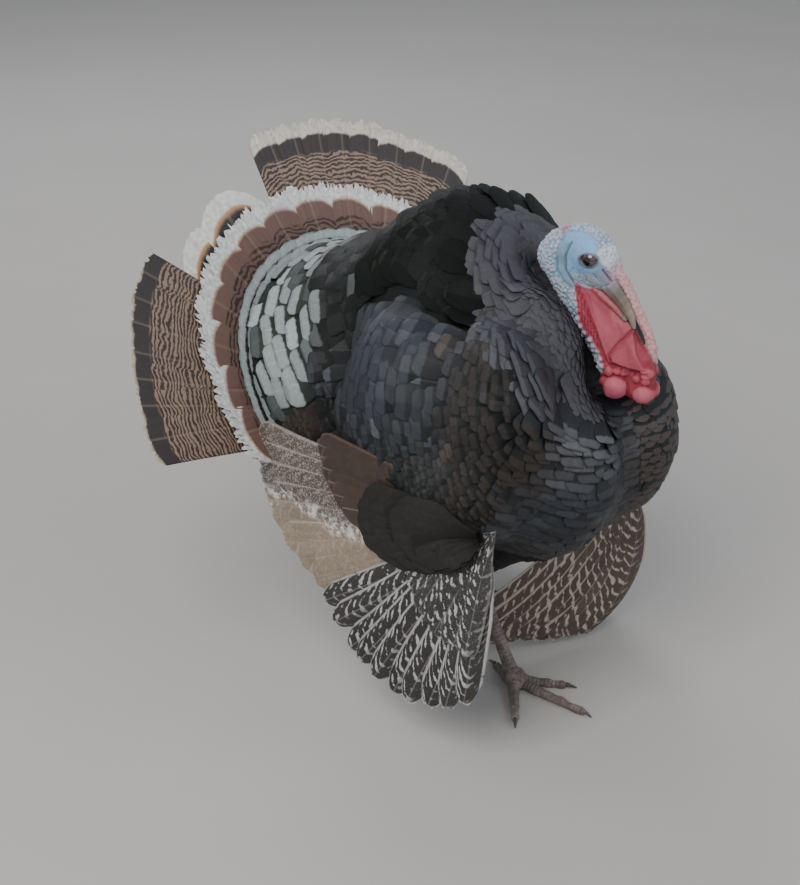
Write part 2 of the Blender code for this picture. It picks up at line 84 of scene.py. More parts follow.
class Wire:
    """One output of a shader node; arithmetic on it adds Math nodes."""

    def __init__(self, finish, socket):
        self.finish = finish
        self.socket = socket

    def maths(self, operation, *others):
        return self.finish.node("ShaderNodeMath", {"operation": operation}, [self, *others])

    def __add__(self, other):
        return self.maths("ADD", other)

    __radd__ = __add__

    def __mul__(self, other):
        return self.maths("MULTIPLY", other)

    def __sub__(self, other):
        return self.maths("SUBTRACT", other)

    def __rsub__(self, other):
        return (self * -1.0) + other

    def __pow__(self, other):
        return self.maths("POWER", other)

    def sine(self):
        return self.maths("SINE")

    def size(self):
        return self.maths("ABSOLUTE")

    def greater(self, other):
        return self.maths("MAXIMUM", other)

    def rise(self, start, end):
        """0 below start, 1 above end, and a smooth climb between; start may be above end."""
        return self.finish.node(
            "ShaderNodeMapRange", {"interpolation_type": "SMOOTHSTEP"},
            {"Value": self, "From Min": start, "From Max": end, "To Min": 0.0, "To Max": 1.0})


class Finish:
    """One Principled material and the nodes that feed it."""

    def __init__(self, name, **constants):
        self.material = bpy.data.materials.new(name)
        self.material.use_nodes = True
        self.tree = self.material.node_tree
        self.shader = self.tree.nodes["Principled BSDF"]
        for socket, value in constants.items():
            self.shader.inputs[socket.replace("_", " ").title()].default_value = value

    def node(self, kind, settings=None, values=None, output=0):
        made = self.tree.nodes.new(kind)
        for setting, value in (settings or {}).items():
            setattr(made, setting, value)
        pairs = values.items() if isinstance(values, dict) else enumerate(values or [])
        for key, value in pairs:
            socket = made.inputs[key]
            if isinstance(value, Wire):
                self.tree.links.new(value.socket, socket)
            elif isinstance(value, (tuple, list)) and len(value) == 3 and len(socket.default_value) == 4:
                socket.default_value = (*value, 1.0)
            else:
                socket.default_value = value
        return Wire(self, made.outputs[output])

    def place(self):
        return self.node("ShaderNodeTexCoord", output="Object")

    def from_centre(self, centre):
        return self.node("ShaderNodeVectorMath", {"operation": "SUBTRACT"}, [self.place(), tuple(centre)])

    def along_way(self, spot, way):
        """How far a place lies along a direction."""
        return self.node("ShaderNodeVectorMath", {"operation": "DOT_PRODUCT"}, [spot, tuple(way)], output=1)

    def attribute(self, name, output="Fac"):
        return self.node("ShaderNodeAttribute", {"attribute_name": name}, output=output)

    def vane(self):
        """Across (0 to 1, the shaft at one half) and along (0 root to 1 tip) a feather."""
        uv = self.node("ShaderNodeUVMap", {"uv_map": "vane"})
        across = self.node("ShaderNodeSeparateXYZ", values=[uv], output=0)
        along = self.node("ShaderNodeSeparateXYZ", values=[uv], output=1)
        return across, along

    def noise(self, vector, scale, detail=3.0, roughness=0.55):
        return self.node("ShaderNodeTexNoise", values={
            "Vector": vector, "Scale": scale, "Detail": detail, "Roughness": roughness})

    def cells(self, vector, scale):
        return self.node("ShaderNodeTexVoronoi", values={"Vector": vector, "Scale": scale}, output="Distance")

    def mix(self, share, first, second):
        made = self.tree.nodes.new("ShaderNodeMix")
        made.data_type = "RGBA"
        for index, value in ((0, share), (6, first), (7, second)):
            if isinstance(value, Wire):
                self.tree.links.new(value.socket, made.inputs[index])
            else:
                made.inputs[index].default_value = (*value, 1.0) if index else value
        return Wire(self, made.outputs[2])

    def shade(self, colour, amount):
        """A colour made lighter or darker by a number."""
        return self.node("ShaderNodeVectorMath", {"operation": "SCALE"}, {0: colour, "Scale": amount})

    def colour(self, value):
        self.tree.links.new(value.socket, self.shader.inputs["Base Color"])

    def roughness(self, value):
        self.tree.links.new(value.socket, self.shader.inputs["Roughness"])

    def bump(self, height, distance, strength=1.0):
        bump = self.node("ShaderNodeBump", values={"Height": height, "Distance": distance, "Strength": strength})
        self.tree.links.new(bump.socket, self.shader.inputs["Normal"])


print("finish helpers ready")

# %% [markdown]
# ## One skin under all the feathers
# A bird's feathers grow from one unbroken skin.  The solid model is cut into named
# parts with thin gaps, so copies of the fleshy parts are joined and remeshed: a voxel
# remesh reads only inside and outside, and closes the gaps.  The result is then drawn
# in by the depth of the coat, so that feather tips reach the solid's outline.

# %% Gather flesh nodes
FLESH = ["back", "breast", "neck_feathered", "rump", "thigh_left", "thigh_right",
         "trunk", "undertail", "wing_left", "wing_right"]
BARE = ["head", "neck_bare", "wattle", "caruncles", "snood"]
COAT_DEPTH = 0.007
NECK_HOLLOW = 0.014


def in_scene(title, data):
    """A new object, linked into the scene."""
    made = bpy.data.objects.new(title, data)
    bpy.context.scene.collection.objects.link(made)
    return made


def mesh_from(bm, title):
    mesh = bpy.data.meshes.new(title)
    bm.to_mesh(mesh)
    bm.free()
    return mesh


def shade_smooth(mesh):
    for face in mesh.polygons:
        face.use_smooth = True


def join_copies(names, title):
    """A welded copy of some nodes' meshes in one new object."""
    bm = bmesh.new()
    for name in names:
        bm.from_mesh(NODES[name].data)
    bmesh.ops.remove_doubles(bm, verts=bm.verts, dist=0.00001)
    return in_scene(title, mesh_from(bm, title))


def bake_modifiers(obj):
    graph = bpy.context.evaluated_depsgraph_get()
    solid = bpy.data.meshes.new_from_object(obj.evaluated_get(graph))
    obj.modifiers.clear()
    obj.data = solid
    return obj


def relax(obj, rounds):
    smooth = obj.modifiers.new("relax", "SMOOTH")
    smooth.factor = 0.5
    smooth.iterations = rounds
    return bake_modifiers(obj)


def melt(obj, voxel, rounds):
    """Overlapping pieces made one closed skin, then relaxed."""
    remesh = obj.modifiers.new("melt", "REMESH")
    remesh.mode = "VOXEL"
    remesh.voxel_size = voxel
    return relax(obj, rounds)


def points_of(mesh):
    flat = np.zeros(len(mesh.vertices) * 3)
    mesh.vertices.foreach_get("co", flat)
    return flat.reshape(-1, 3)


def normals_of(mesh):
    flat = np.zeros(len(mesh.vertices) * 3)
    mesh.vertex_normals.foreach_get("vector", flat)
    return flat.reshape(-1, 3)


def edges_of(mesh):
    return np.array([edge.vertices for edge in mesh.edges])


def set_points(mesh, points):
    mesh.vertices.foreach_set("co", points.astype(float).ravel())
    mesh.update()


def tree_of(mesh):
    """A search tree over the faces of a mesh."""
    return BVHTree.FromPolygons([v.co for v in mesh.vertices], [p.vertices for p in mesh.polygons])


def nearest_solid(names, points):
    """For each point, the place in a list of solids of the one nearest to it."""
    trees = [tree_of(NODES[name].data) for name in names]
    return np.array([min(range(len(names)), key=lambda k: trees[k].find_nearest(point)[3])
                     for point in map(Vector, points)])


skin = melt(join_copies(FLESH, "skin"), 0.0055, 3)
print("skin", len(skin.data.polygons), "faces")

# %% [markdown]
# Each skin point is named after the solid part nearest to it.  That says which kind of
# feather grows there and which way it lies.

# %% Regions of the skin
skin_points = points_of(skin.data)
region = nearest_solid(FLESH, skin_points)
print("regions", {name: int((region == k).sum()) for k, name in enumerate(FLESH)})


def part_of(*names):
    """The skin that belongs to some solids."""
    return np.isin(region, [FLESH.index(name) for name in names])


# %% [markdown]
# Two borders are then drawn afresh, because feathers do not change where the solids do.
# The collar ends at a line that runs slanting down from behind the bare neck.  The
# wing's planks climb the shoulder as far as a crest line, and the back keeps what is
# above it.

# %% Redraw the borders of collar and wing
COLLAR_SLANT = (-0.682, -0.731)  # shares of the distances aside and back that make "forward"
COLLAR_HEIGHTS = (0.39, 0.42, 0.443, 0.4785, 0.489, 0.51)
COLLAR_FORWARD = (0.185, 0.139, 0.099, 0.072, 0.050, 0.0545)
COLLAR_REAR, COLLAR_FOOT = -0.1128, 0.400
CREST_Y = (-0.202, -0.182, -0.117, -0.082, -0.053, -0.003, 0.025, 0.050)
CREST_Z = (0.479, 0.486, 0.489, 0.494, 0.480, 0.450, 0.420, 0.380)
SADDLE_SIDE = 0.085  # the crest line divides only the skin farther aside than this

aside = np.abs(skin_points[:, 0] - SHIFT.x)
back_of, height_of = skin_points[:, 1], skin_points[:, 2]
forward = COLLAR_SLANT[0] * aside + COLLAR_SLANT[1] * back_of
collar_edge = np.interp(height_of, COLLAR_HEIGHTS, COLLAR_FORWARD)


def give_to_wings(marked):
    region[marked & (skin_points[:, 0] < SHIFT.x)] = FLESH.index("wing_right")
    region[marked & (skin_points[:, 0] > SHIFT.x)] = FLESH.index("wing_left")


round_neck = (forward > collar_edge) & (back_of < COLLAR_REAR) & (height_of > COLLAR_FOOT)
loose = part_of("neck_feathered") & ~round_neck
region[round_neck & part_of("back", "breast", "neck_feathered", "wing_right", "wing_left")] = FLESH.index(
    "neck_feathered")
# what the collar's solid has outside the line goes to the breast, the wings and the back
region[loose] = FLESH.index("breast")
give_to_wings(loose & (forward < collar_edge) & (aside > 0.130) & (height_of > 0.36))
region[loose & (forward < 0.062) & (height_of > 0.484)] = FLESH.index("back")
crest = np.interp(back_of, CREST_Y, CREST_Z)
saddle = (back_of > CREST_Y[0]) & (back_of < CREST_Y[-1]) & (aside > SADDLE_SIDE)
give_to_wings(saddle & part_of("back") & (height_of < crest))
region[saddle & part_of("wing_right", "wing_left") & (height_of > crest)] = FLESH.index("back")

# %% [markdown]
# The lie of the coat is a field of directions on the skin.  Back feathers point to the
# tail, breast feathers down, and rump feathers out like the rays of the fan.  Each
# region states its rule; smoothing over neighbours turns the rules into one flow.

# %% Lie of the coat
def unit(vectors):
    return vectors / np.maximum(np.linalg.norm(vectors, axis=-1, keepdims=True), 1e-9)


def fan_ray(points, pull):
    """Directions away from the root of the tail, in the plane of the fan."""
    away = points - np.array(FAN_ROOT) + np.array(FAN_UP) * pull
    out = np.array(FAN_OUT)
    away = away - (away @ out)[:, None] * out
    return unit(away)


bare_trees = [tree_of(NODES[name].data) for name in BARE]


def from_bare(points):
    """The way and the distance from the bare head and neck to each point."""
    hits = [min((tree.find_nearest(point) for tree in bare_trees), key=lambda hit: hit[3])
            for point in map(Vector, points)]
    away = points - np.array([hit[0] for hit in hits])
    return unit(away), np.array([hit[3] for hit in hits])


def lie(points):
    """The way the feathers of each region point, and the distance from the bare neck."""
    x = points[:, 0] - SHIFT.x
    side = np.sign(x)
    hang = np.clip((0.43 - points[:, 2]) / 0.20, 0, 1)
    away, gap = from_bare(points)
    near = np.clip(1.3 - gap / 0.05, 0, 1)[:, None]

    def way(left, back, up):
        return np.stack(np.broadcast_arrays(left, back, up, x)[:3], 1)

    rules = {
        "back": way(0.0, 1.0, 0.25),
        "rump": fan_ray(points, 0.0) * 1.2 - np.array(FAN_OUT) * 0.3,
        "neck_feathered": away * near + way(side * 0.50, 0.75, -0.45) * (1 - near),
        "breast": way(side * 0.06, 0.15 + 4.5 * np.abs(x), -0.9),
        "trunk": way(0.0, 0.75, -0.65),
        "thigh": way(0.0, 0.65, -0.75),
        "wing": way(0.0, 0.92, -0.12 - 0.50 * hang),
        "undertail": fan_ray(points, 0.10),
    }
    flow = np.zeros_like(points)
    for k, name in enumerate(FLESH):
        rule = name if name in rules else name.split("_")[0]
        flow[region == k] = unit(rules[rule])[region == k]
    return flow, gap


def with_neighbours(values):
    """The value of each skin point and of all its neighbours, added up."""
    total = values.copy()
    np.add.at(total, edges[:, 0], values[edges[:, 1]])
    np.add.at(total, edges[:, 1], values[edges[:, 0]])
    return total


FLOW_ROUNDS = 40
edges = edges_of(skin.data)
flow, bare_gap = lie(skin_points)
skin_normals = normals_of(skin.data)
for step in range(FLOW_ROUNDS):
    total = with_neighbours(flow)
    total -= (total * skin_normals).sum(1, keepdims=True) * skin_normals
    flow = unit(total)
print("coat flow smoothed over", len(edges), "edges")

# %% [markdown]
# The skin now goes in by the coat's depth, and further where the collar meets the bare
# neck: there the feathers are short and the neck stands out of them.

# %% Draw the skin in
hollow = np.clip(1 - (bare_gap - 0.004) / 0.030, 0, 1) ** 1.5 * part_of("neck_feathered")
for step in range(4):
    hollow = with_neighbours(hollow) / (1 + np.bincount(edges.ravel(), minlength=len(hollow)))
set_points(skin.data, skin_points - skin_normals * (COAT_DEPTH + NECK_HOLLOW * hollow)[:, None])
relax(skin, 2)
skin_points = points_of(skin.data)
skin_normals = normals_of(skin.data)
skin_tree = tree_of(skin.data)

# %% [markdown]
# ## Where feathers grow
# Feathers stand in rows, like tiles.  Two numbers are worked out for every skin point:
# its row, which grows by one for each step along the lie, and its file, which does the
# same across it.  Both are slopes that cannot fit a curved skin exactly, so they are
# solved as the best fit over all edges, by conjugate gradients.

# %% Rows and files
NEIGHBOURS = [(x, y, z) for x in (-1, 0, 1) for y in (-1, 0, 1) for z in (-1, 0, 1)]
SOLVER_ROUNDS, SOLVED = 500, 1e-10
CANDIDATES = 24  # places tried for each root that fits
CROWDED = 0.52   # square of the least gap between roots, in steps
sides_of = np.sign(skin_points[edges, 0] - SHIFT.x)
# rows and files of the two sides of the breast are not tied together
seam = (sides_of[:, 0] != sides_of[:, 1]) & (skin_points[edges[:, 0], 1] < -0.10)


def numbering(keep, direction, step):
    """Numbers over the kept skin that grow by one for every step in a direction."""
    live = keep[edges].all(1) & ~seam
    first, second = edges[live].T
    run = ((skin_points[second] - skin_points[first]) * (direction[first] + direction[second])).sum(1)
    want = run / (step[first] + step[second])
    size = len(skin_points)

    def gather(values):
        return np.bincount(second, values, size) - np.bincount(first, values, size)

    weight = np.maximum(np.bincount(first, minlength=size) + np.bincount(second, minlength=size), 1)
    number = np.zeros(size)
    rest = gather(want)
    push = rest / weight
    heading = push.copy()
    old = rest @ push
    for attempt in range(SOLVER_ROUNDS):
        answer = gather(heading[second] - heading[first])
        stride = old / max(heading @ answer, 1e-20)
        number += stride * heading
        rest -= stride * answer
        push = rest / weight
        new = rest @ push
        if new < SOLVED * size:
            break
        heading = push + heading * (new / old)
        old = new
    return number


def grown(keep, rings):
    for ring in range(rings):
        wider = keep.copy()
        wider[edges[keep[edges].any(1)].ravel()] = True
        keep = wider
    return keep


def spread(wanted, along, across, seed):
    """Roots in staggered rows on the wanted skin; steps are numbers or arrays over the skin."""
    rng = np.random.default_rng(seed)
    along = np.broadcast_to(along, len(skin_points)).astype(float)
    across = np.broadcast_to(across, len(skin_points)).astype(float)
    keep = grown(wanted, 2)
    fields = np.concatenate([
        skin_points, skin_normals, flow, numbering(keep, flow, along)[:, None],
        numbering(keep, np.cross(skin_normals, flow), across)[:, None], along[:, None], across[:, None]], 1)
    corners = np.array([(*face.vertices, face.vertices[-1])[:4] for face in skin.data.polygons])
    corners = corners[wanted[corners].mean(1) > 0.5]
    a, b, c = (skin_points[corners[:, i]] for i in range(3))
    area = np.linalg.norm(np.cross(b - a, c - a), axis=1)
    room = (along * across)[corners].mean(1)
    count = int((area / room).sum() * CANDIDATES)
    quad = corners[rng.choice(len(corners), count, p=(area / room) / (area / room).sum())]
    u, v = rng.random(count), rng.random(count)
    weights = np.stack([(1 - u) * (1 - v), u * (1 - v), u * v, (1 - u) * v], 1)[:, :, None]
    found = (fields[quad] * weights).sum(1)
    places, normals, heads = found[:, :3], unit(found[:, 3:6]), found[:, 6:9]
    heads = unit(heads - (heads * normals).sum(1, keepdims=True) * normals)
    row, file, along, across = found[:, 9:].T
    shift = 0.5 * (np.round(row) % 2)
    miss = np.hypot(row - np.round(row), file - shift - np.round(file - shift))
    taken = {}
    chosen = []
    cell = max(along.max(), across.max())
    keys = (places // cell).astype(int)
    for index in np.argsort(miss):
        near = [other for step in NEIGHBOURS for other in taken.get(tuple(keys[index] + step), ())]
        if near:
            gaps = places[near] - places[index]
            run = gaps @ heads[index]
            off = (gaps ** 2).sum(1) - run ** 2
            if ((run / along[index]) ** 2 + off / across[index] ** 2).min() < CROWDED:
                continue
        taken.setdefault(tuple(keys[index]), []).append(index)
        chosen.append(index)
    return places[chosen], normals[chosen], heads[chosen], row[chosen]


print("root spreader ready")

# %% [markdown]
# ## The vane of one small feather
# Seen end on, a vane is a shallow roof: a raised shaft, two sloping webs and a thin
# edge.  Seven such sections from root to tip, joined by quads, make a closed shape of a
# few dozen faces.  Every section asks the skin where it is, so that a long feather
# bends with the body, and it climbs on the way to its tip, so that it lies over the
# feathers behind it.

# %% Lay many vanes at once
STATIONS = np.array([0.0, 0.20, 0.42, 0.64, 0.82, 0.94, 1.0])
OUTLINES = {
    "blunt": np.array([0.34, 0.74, 0.95, 1.0, 0.98, 0.88, 0.62]),
    "round": np.array([0.30, 0.70, 0.94, 1.0, 0.84, 0.54, 0.16]),
}
SECTION = np.array([(-1.0, -1.0), (-0.5, -0.25), (0.0, 0.0), (0.5, -0.25), (1.0, -1.0), (0.0, -0.6)])


def nearest(tree, points):
    hits = [tree.find_nearest(point)[:2] for point in map(Vector, points)]
    return np.array([hit[0] for hit in hits]), np.array([hit[1] for hit in hits])


def new_mesh_object(title, points, faces):
    mesh = bpy.data.meshes.new(title)
    mesh.from_pydata(points.tolist(), [], faces.tolist() if hasattr(faces, "tolist") else faces)
    shade_smooth(mesh)
    return in_scene(title, mesh)


def add_uv(mesh, title, values):
    layer = mesh.uv_layers.new(name=title)
    loops = np.zeros(len(mesh.loops), int)
    mesh.loops.foreach_get("vertex_index", loops)
    layer.data.foreach_set("uv", values[loops].astype(float).ravel())


def add_attribute(mesh, title, values):
    kind = "FLOAT_COLOR" if values.ndim == 2 else "FLOAT"
    made = mesh.attributes.new(title, kind, "POINT")
    if values.ndim == 2:
        values = np.concatenate([values, np.ones((len(values), 1))], 1)
        made.data.foreach_set("color", values.astype(float).ravel())
    else:
        made.data.foreach_set("value", values.astype(float))


def skin_chart(points):
    """The skin unwrapped like a globe: turn about the body's long axis, and travel along it."""
    centre = np.array(SHIFT) + np.array([0.0, 0.06, 0.33])
    rel = points - centre
    turn = np.arctan2(rel[:, 0], rel[:, 2]) / (2 * math.pi) + 0.5
    travel = np.arctan2(rel[:, 1], np.hypot(rel[:, 0], rel[:, 2])) / math.pi + 0.5
    return np.stack([0.02 + 0.96 * turn, 0.02 + 0.96 * travel], 1)


def vanes(title, roots, outline, length, width, lift, seed, dye, sway=0.04, camber=0.03, roll=0.05, spring=0.35):
    """A joined mesh of feathers; length, width and lift are arrays or numbers in metres."""
    places, normals, heads, rows_of = roots
    count = len(places)
    rng = np.random.default_rng(seed)
    length = np.broadcast_to(length, count) * rng.uniform(0.90, 1.10, count)
    width = np.broadcast_to(width, count) * rng.uniform(0.92, 1.08, count)
    lift = np.broadcast_to(lift, count) * rng.uniform(0.75, 1.20, count)
    sides = np.cross(normals, heads)
    bend = rng.normal(0, sway, count)
    roll = rng.normal(0, roll, count)
    rows = len(STATIONS)
    s = STATIONS[None, :, None]
    spine = places[:, None] + (heads[:, None] + sides[:, None] * (bend[:, None, None] * s)) * (
        length[:, None, None] * s)
    shape = OUTLINES[outline][None, :] * width[:, None] / 2
    half = shape * (1 + rng.normal(0, 0.03, (count, rows)))
    grid = np.zeros((count, rows, len(SECTION), 3))
    climb = 0.0006 + (lift[:, None] - 0.0006) * STATIONS[None, :] ** 1.2
    for column, (across, drop) in enumerate(SECTION):
        at = spine + sides[:, None] * (across * half)[:, :, None]
        ground, up = nearest(skin_tree, at.reshape(-1, 3))
        ground = ground.reshape(count, rows, 3)
        up = unit(up.reshape(count, rows, 3) * 0.6 + normals[:, None] * 0.4)
        height = climb + drop * camber * half * 2 * 0.9 + roll[:, None] * across * half
        if column == len(SECTION) - 1:
            height = climb - 0.0007
        grid[:, :, column] = ground + up * height[:, :, None] + (at - ground) * spring
    ring = len(SECTION)
    index = np.arange(count * rows * ring).reshape(count, rows, ring)
    quads = []
    for j in range(ring):
        k = (j + 1) % ring
        quads.append(np.stack([index[:, :-1, j], index[:, :-1, k], index[:, 1:, k], index[:, 1:, j]], -1))
    faces = np.concatenate([q.reshape(-1, 4) for q in quads]).tolist()
    faces += index[:, 0, ::-1].tolist() + index[:, -1, :].tolist()
    made = new_mesh_object(title, grid.reshape(-1, 3), faces)
    across = np.broadcast_to(SECTION[:, 0] * 0.5 + 0.5, (count, rows, ring))
    along = np.broadcast_to(STATIONS[None, :, None], (count, rows, ring))
    add_uv(made.data, "vane", np.stack([across, along], -1).reshape(-1, 2))
    chart = skin_chart(places)[:, None, None] + 0.003 * (np.stack([across, along], -1) - 0.5)
    add_uv(made.data, "OFBake", chart.reshape(-1, 2))
    for key, value in dye(places, rows_of, rng).items():
        value = np.asarray(value, float)
        per_point = np.repeat(value, rows * ring, axis=0)
        add_attribute(made.data, key, per_point)
    add_attribute(made.data, "tone", np.repeat(rng.random(count), rows * ring))
    made.data.set_sharp_from_angle(angle=math.radians(75))
    print(title, count, "feathers,", len(faces), "faces")
    return made


# %% [markdown]
# ## Colours of the coat
# One rule gives the colour of a feather from where it grows, and the bare skin beneath
# follows the same rule, so that nothing pale shows through a parting.

# %% Colour rules
def hue(r, g, b):
    return np.array([r, g, b])


BLACK = hue(0.0075, 0.0085, 0.0080)
BRONZE_SHEEN = hue(0.020, 0.024, 0.014)
SLATE = hue(0.036, 0.041, 0.050)
STEEL = hue(0.085, 0.088, 0.094)
BROWN = hue(0.060, 0.045, 0.036)
PALE = hue(0.36, 0.41, 0.41)


def blended(first, second, share):
    share = np.clip(share, 0, 1)[:, None]
    return first * (1 - share) + second * share


def patches(points, size, seed):
    """Smooth random patches over the body, 0 to 1."""
    offset = Vector((seed * 3.1, seed * 1.7, seed * 2.3))
    return np.array([noise.noise(Vector(point) / size + offset) for point in points]) * 0.5 + 0.5


print("colour rules ready")

# %% [markdown]
# ## The finish of a contour feather
# The vane's own map says how far along and across it a point is.  From that come the
# darker base, painted shade where the feather ahead covers it, the band of colour at the
# tip, a dark rim that is painted shadow in the gaps between feathers, the fine shaft, and
# the barbs: hundreds of slanting ribs that catch the light.

# %% Contour feather finish
def contour_finish(title, rough, level=0.25, edge_dark=0.5, barb=26.0, shaft=0.15):
    made = Finish(title, Roughness=rough)
    made.shader.inputs["Specular IOR Level"].default_value = level
    across, along = made.vane()
    off = (across - 0.5).size() * 2.0
    dye = made.attribute("dye", "Color")
    tip = made.attribute("tipdye", "Color")
    band = made.attribute("band")
    tone = made.attribute("tone")
    grain = made.noise(made.place(), 220.0, 4.0)
    mark = (along + (grain - 0.5) * 0.08 - off * off * 0.03 - band).rise(-0.02, 0.04)
    # painted shade: the feather darkens towards its root, where the one ahead covers it
    base = made.shade(dye, (along.rise(-0.2, 0.7) * 0.65 + 0.35) * (tone * 0.5 + 0.75))
    colour = made.mix(mark, base, tip)
    ribs = ((along - off * 0.35) * (barb * FULL_TURN) + grain * 2.0).sine() * 0.5 + 0.5
    # painted shadow: the rim along the edges and the tip is darkened by edge_dark
    rim = 1.0 - (off.rise(0.86, 1.0)).greater((along - off * off * 0.04).rise(0.93, 0.985)) * edge_dark
    quill = 1.0 + (1.0 - off.rise(0.0, 0.07)) * shaft
    made.colour(made.shade(colour, (ribs * 0.24 + 0.85) * rim * quill * (grain * 0.5 + 0.75)))
    made.roughness(rough + (ribs - 0.5) * 0.10 + (tone - 0.5) * 0.10)
    made.bump(ribs * 0.6 + grain * 0.4, 0.0005, 0.5)
    return made.material


print("contour finish ready")

# %% [markdown]
# ## The body's coat, region by region
# Every region states its feather: how long and wide, how far the rows stand apart, how
# blunt the tip is and which colours it carries.  A broad blunt feather of which only
# the last third shows makes a plank, wider than it is long: so look wing and breast.

# %% Coat recipes
def close_to(marked, reach):
    """Skin within a reach of marked skin."""
    balls = KDTree(int(marked.sum()))
    for index, point in enumerate(skin_points[marked]):
        balls.insert(point, index)
    balls.balance()
    return np.array([balls.find(point)[2] < reach for point in skin_points])


def fade(points, axis, start, end):
    """0 to 1 along an axis of the bird, for sizes and colours that change over a region."""
    share = np.clip((points[:, axis] - start) / (end - start), 0, 1)
    return share * share * (3 - 2 * share)


def sized(low_size, high_size, axis=2, start=0.30, end=0.42):
    """A size in metres that changes from one end of a region to the other."""
    return lambda points: low_size + (high_size - low_size) * fade(points, axis, start, end)


def by_gap(near_size, far_size, start=0.020, end=0.100):
    """A size that grows with the distance from the bare neck."""
    def size(points):
        share = np.clip((from_bare(points)[1] - start) / (end - start), 0, 1)
        return near_size + (far_size - near_size) * share
    return size


def worn_dye(fresh, tip, worn, band, seed, amount=0.35, pale=0.0):
    """Fresh colour with a tip of its own; a share of feathers is worn brown, a few pale."""
    def dye(points, row, rng):
        share = np.clip((patches(points, 0.035, seed) - 0.60) * 6, 0, 1) * (rng.random(len(points)) < amount * 2)
        light = rng.random(len(points)) < pale
        return {
            "dye": blended(fresh, worn * 0.7, share * 0.8),
            "tipdye": blended(tip, worn, share) * (1 + light[:, None]),
            "band": np.full(len(points), band),
        }
    return dye


def mantle_dye(points, row, rng):
    # painted sheen: about a third of the back feathers get a green-bronze tip edge
    edge = rng.random(len(points)) < 0.30
    return {
        "dye": blended(BLACK * 0.8, BLACK, rng.random(len(points))),
        "tipdye": blended(BLACK, BRONZE_SHEEN, edge * rng.random(len(points))),
        "band": np.full(len(points), 0.90),
    }


COLLAR_TINT = hue(1.17, 1.03, 0.98)


def collar_dye(points, row, rng):
    far = np.clip((from_bare(points)[1] - 0.05) / 0.05, 0, 1)
    return {
        "dye": blended(SLATE * 1.15, SLATE * 0.7, far) * COLLAR_TINT,
        "tipdye": blended(SLATE * 1.35, SLATE * 1.75, far * rng.random(len(points))) * COLLAR_TINT,
        "band": np.full(len(points), 0.74),
    }


def breast_dye(points, row, rng):
    x = points[:, 0] - SHIFT.x
    front = fade(points, 1, -0.225, -0.280) * fade(points, 2, 0.34, 0.42)
    left = np.clip(x / 0.02, 0, 1)
    # painted shade: the breast's side beside the right wing turns dark brown, partly the feathers' own brown
    wing_shade = np.clip((-x - 0.095) / 0.020, 0, 1) * fade(points, 2, 0.33, 0.38)
    worn = np.clip((patches(points, 0.045, 3) - 0.45) * 3, 0, 1)
    base = blended(SLATE * 0.32, BLACK * 1.4, fade(points, 2, 0.30, 0.20))
    tone = rng.uniform(0.7, 1.3, len(points))[:, None]
    tip = blended(SLATE * 0.80, STEEL * 1.25, front) * tone
    tip = blended(tip, BROWN * 0.45, wing_shade)
    tip = tip * (1 - worn[:, None] * 0.22) + worn[:, None] * 0.22 * BROWN
    tip = tip * (1 - left[:, None] * 0.7) + left[:, None] * 0.7 * BROWN * 1.1
    return {"dye": base, "tipdye": tip, "band": np.full(len(points), 0.74)}


def in_fan(points):
    """Angle (degrees, to the bird's right), radius, and height over the tail's dish."""
    rel = points - np.array(FAN_ROOT)
    out = rel @ np.array(FAN_OUT)
    flat = rel - out[:, None] * np.array(FAN_OUT)
    radius = np.linalg.norm(flat, axis=1)
    return np.degrees(np.arctan2(-flat[:, 0], flat @ np.array(FAN_UP))), radius, out - radius * math.tan(FAN_DISH)


def wing_dye(points, row, rng):
    """Blue slate above, partly the planks' colour and partly painted sky sheen on the upward-facing part; nearly black
    below and behind; darker brown in front, partly painted shade beside the breast; a few worn brown planks and a few
    painted glints.
    """
    # painted sky sheen: the upward-facing upper wing takes blue slate tips, partly the planks' own colour
    high = fade(points, 2, 0.32, 0.41) * (1 - fade(points, 1, 0.035, 0.060))
    # painted shade: darker brown in front where the wing meets the breast, partly the feathers' own colour
    front = fade(points, 1, -0.180, -0.225)
    worn = np.clip((patches(points, 0.030, 4) - 0.66) * 5, 0, 1) * (rng.random(len(points)) < 0.5) * high
    # painted glints: about one plank in twenty is nearly twice as bright
    light = 1 + 0.9 * (rng.random(len(points)) < 0.05)
    deep = blended(BLACK * 1.2, SLATE * 0.40, high)
    tone = rng.uniform(0.65, 1.25, len(points))[:, None]
    tip = blended(BLACK * 2.0, SLATE * 0.98, high) * light[:, None] * tone
    deep, tip = blended(deep, BLACK * 1.2, front * 0.8), blended(tip, BROWN * 0.42, front * 0.85)
    angle, radius, height = in_fan(points)
    under = np.clip((np.abs(angle) - 80) / 6, 0, 1) * (height < 0.075) * (radius < 0.20)
    deep, tip = blended(deep, BROWN * 0.5, under), blended(tip, BROWN * 0.65, under)
    return {
        "dye": blended(deep, BROWN * 0.7, worn * 0.6),
        "tipdye": blended(tip, BROWN * 1.2, worn),
        "band": 0.83 * (1 - high) + 0.74 * high,
    }


MANTLE_GAP = 0.030    # bare strip of back skin that the wing's planks cover
PLANK_REACH = 0.040   # how far the collar's rear planks reach ahead of its border
INNER = part_of("back") & ~close_to(part_of("wing_right", "wing_left"), MANTLE_GAP)
PLANKS = part_of("neck_feathered") & (forward - collar_edge < PLANK_REACH) & (skin_points[:, 2] > 0.43)
LEFT_LOBE = part_of("breast") & (skin_points[:, 0] - SHIFT.x > 0.012)


def on_wing(low_size, high_size):
    """Small feathers low down and in front, beside the breast; broad planks on the shoulder."""
    def size(points):
        front = fade(points, 1, -0.165, -0.215)
        return low_size + (high_size - low_size) * fade(points, 2, 0.35, 0.43) * (1 - 0.75 * front)
    return size


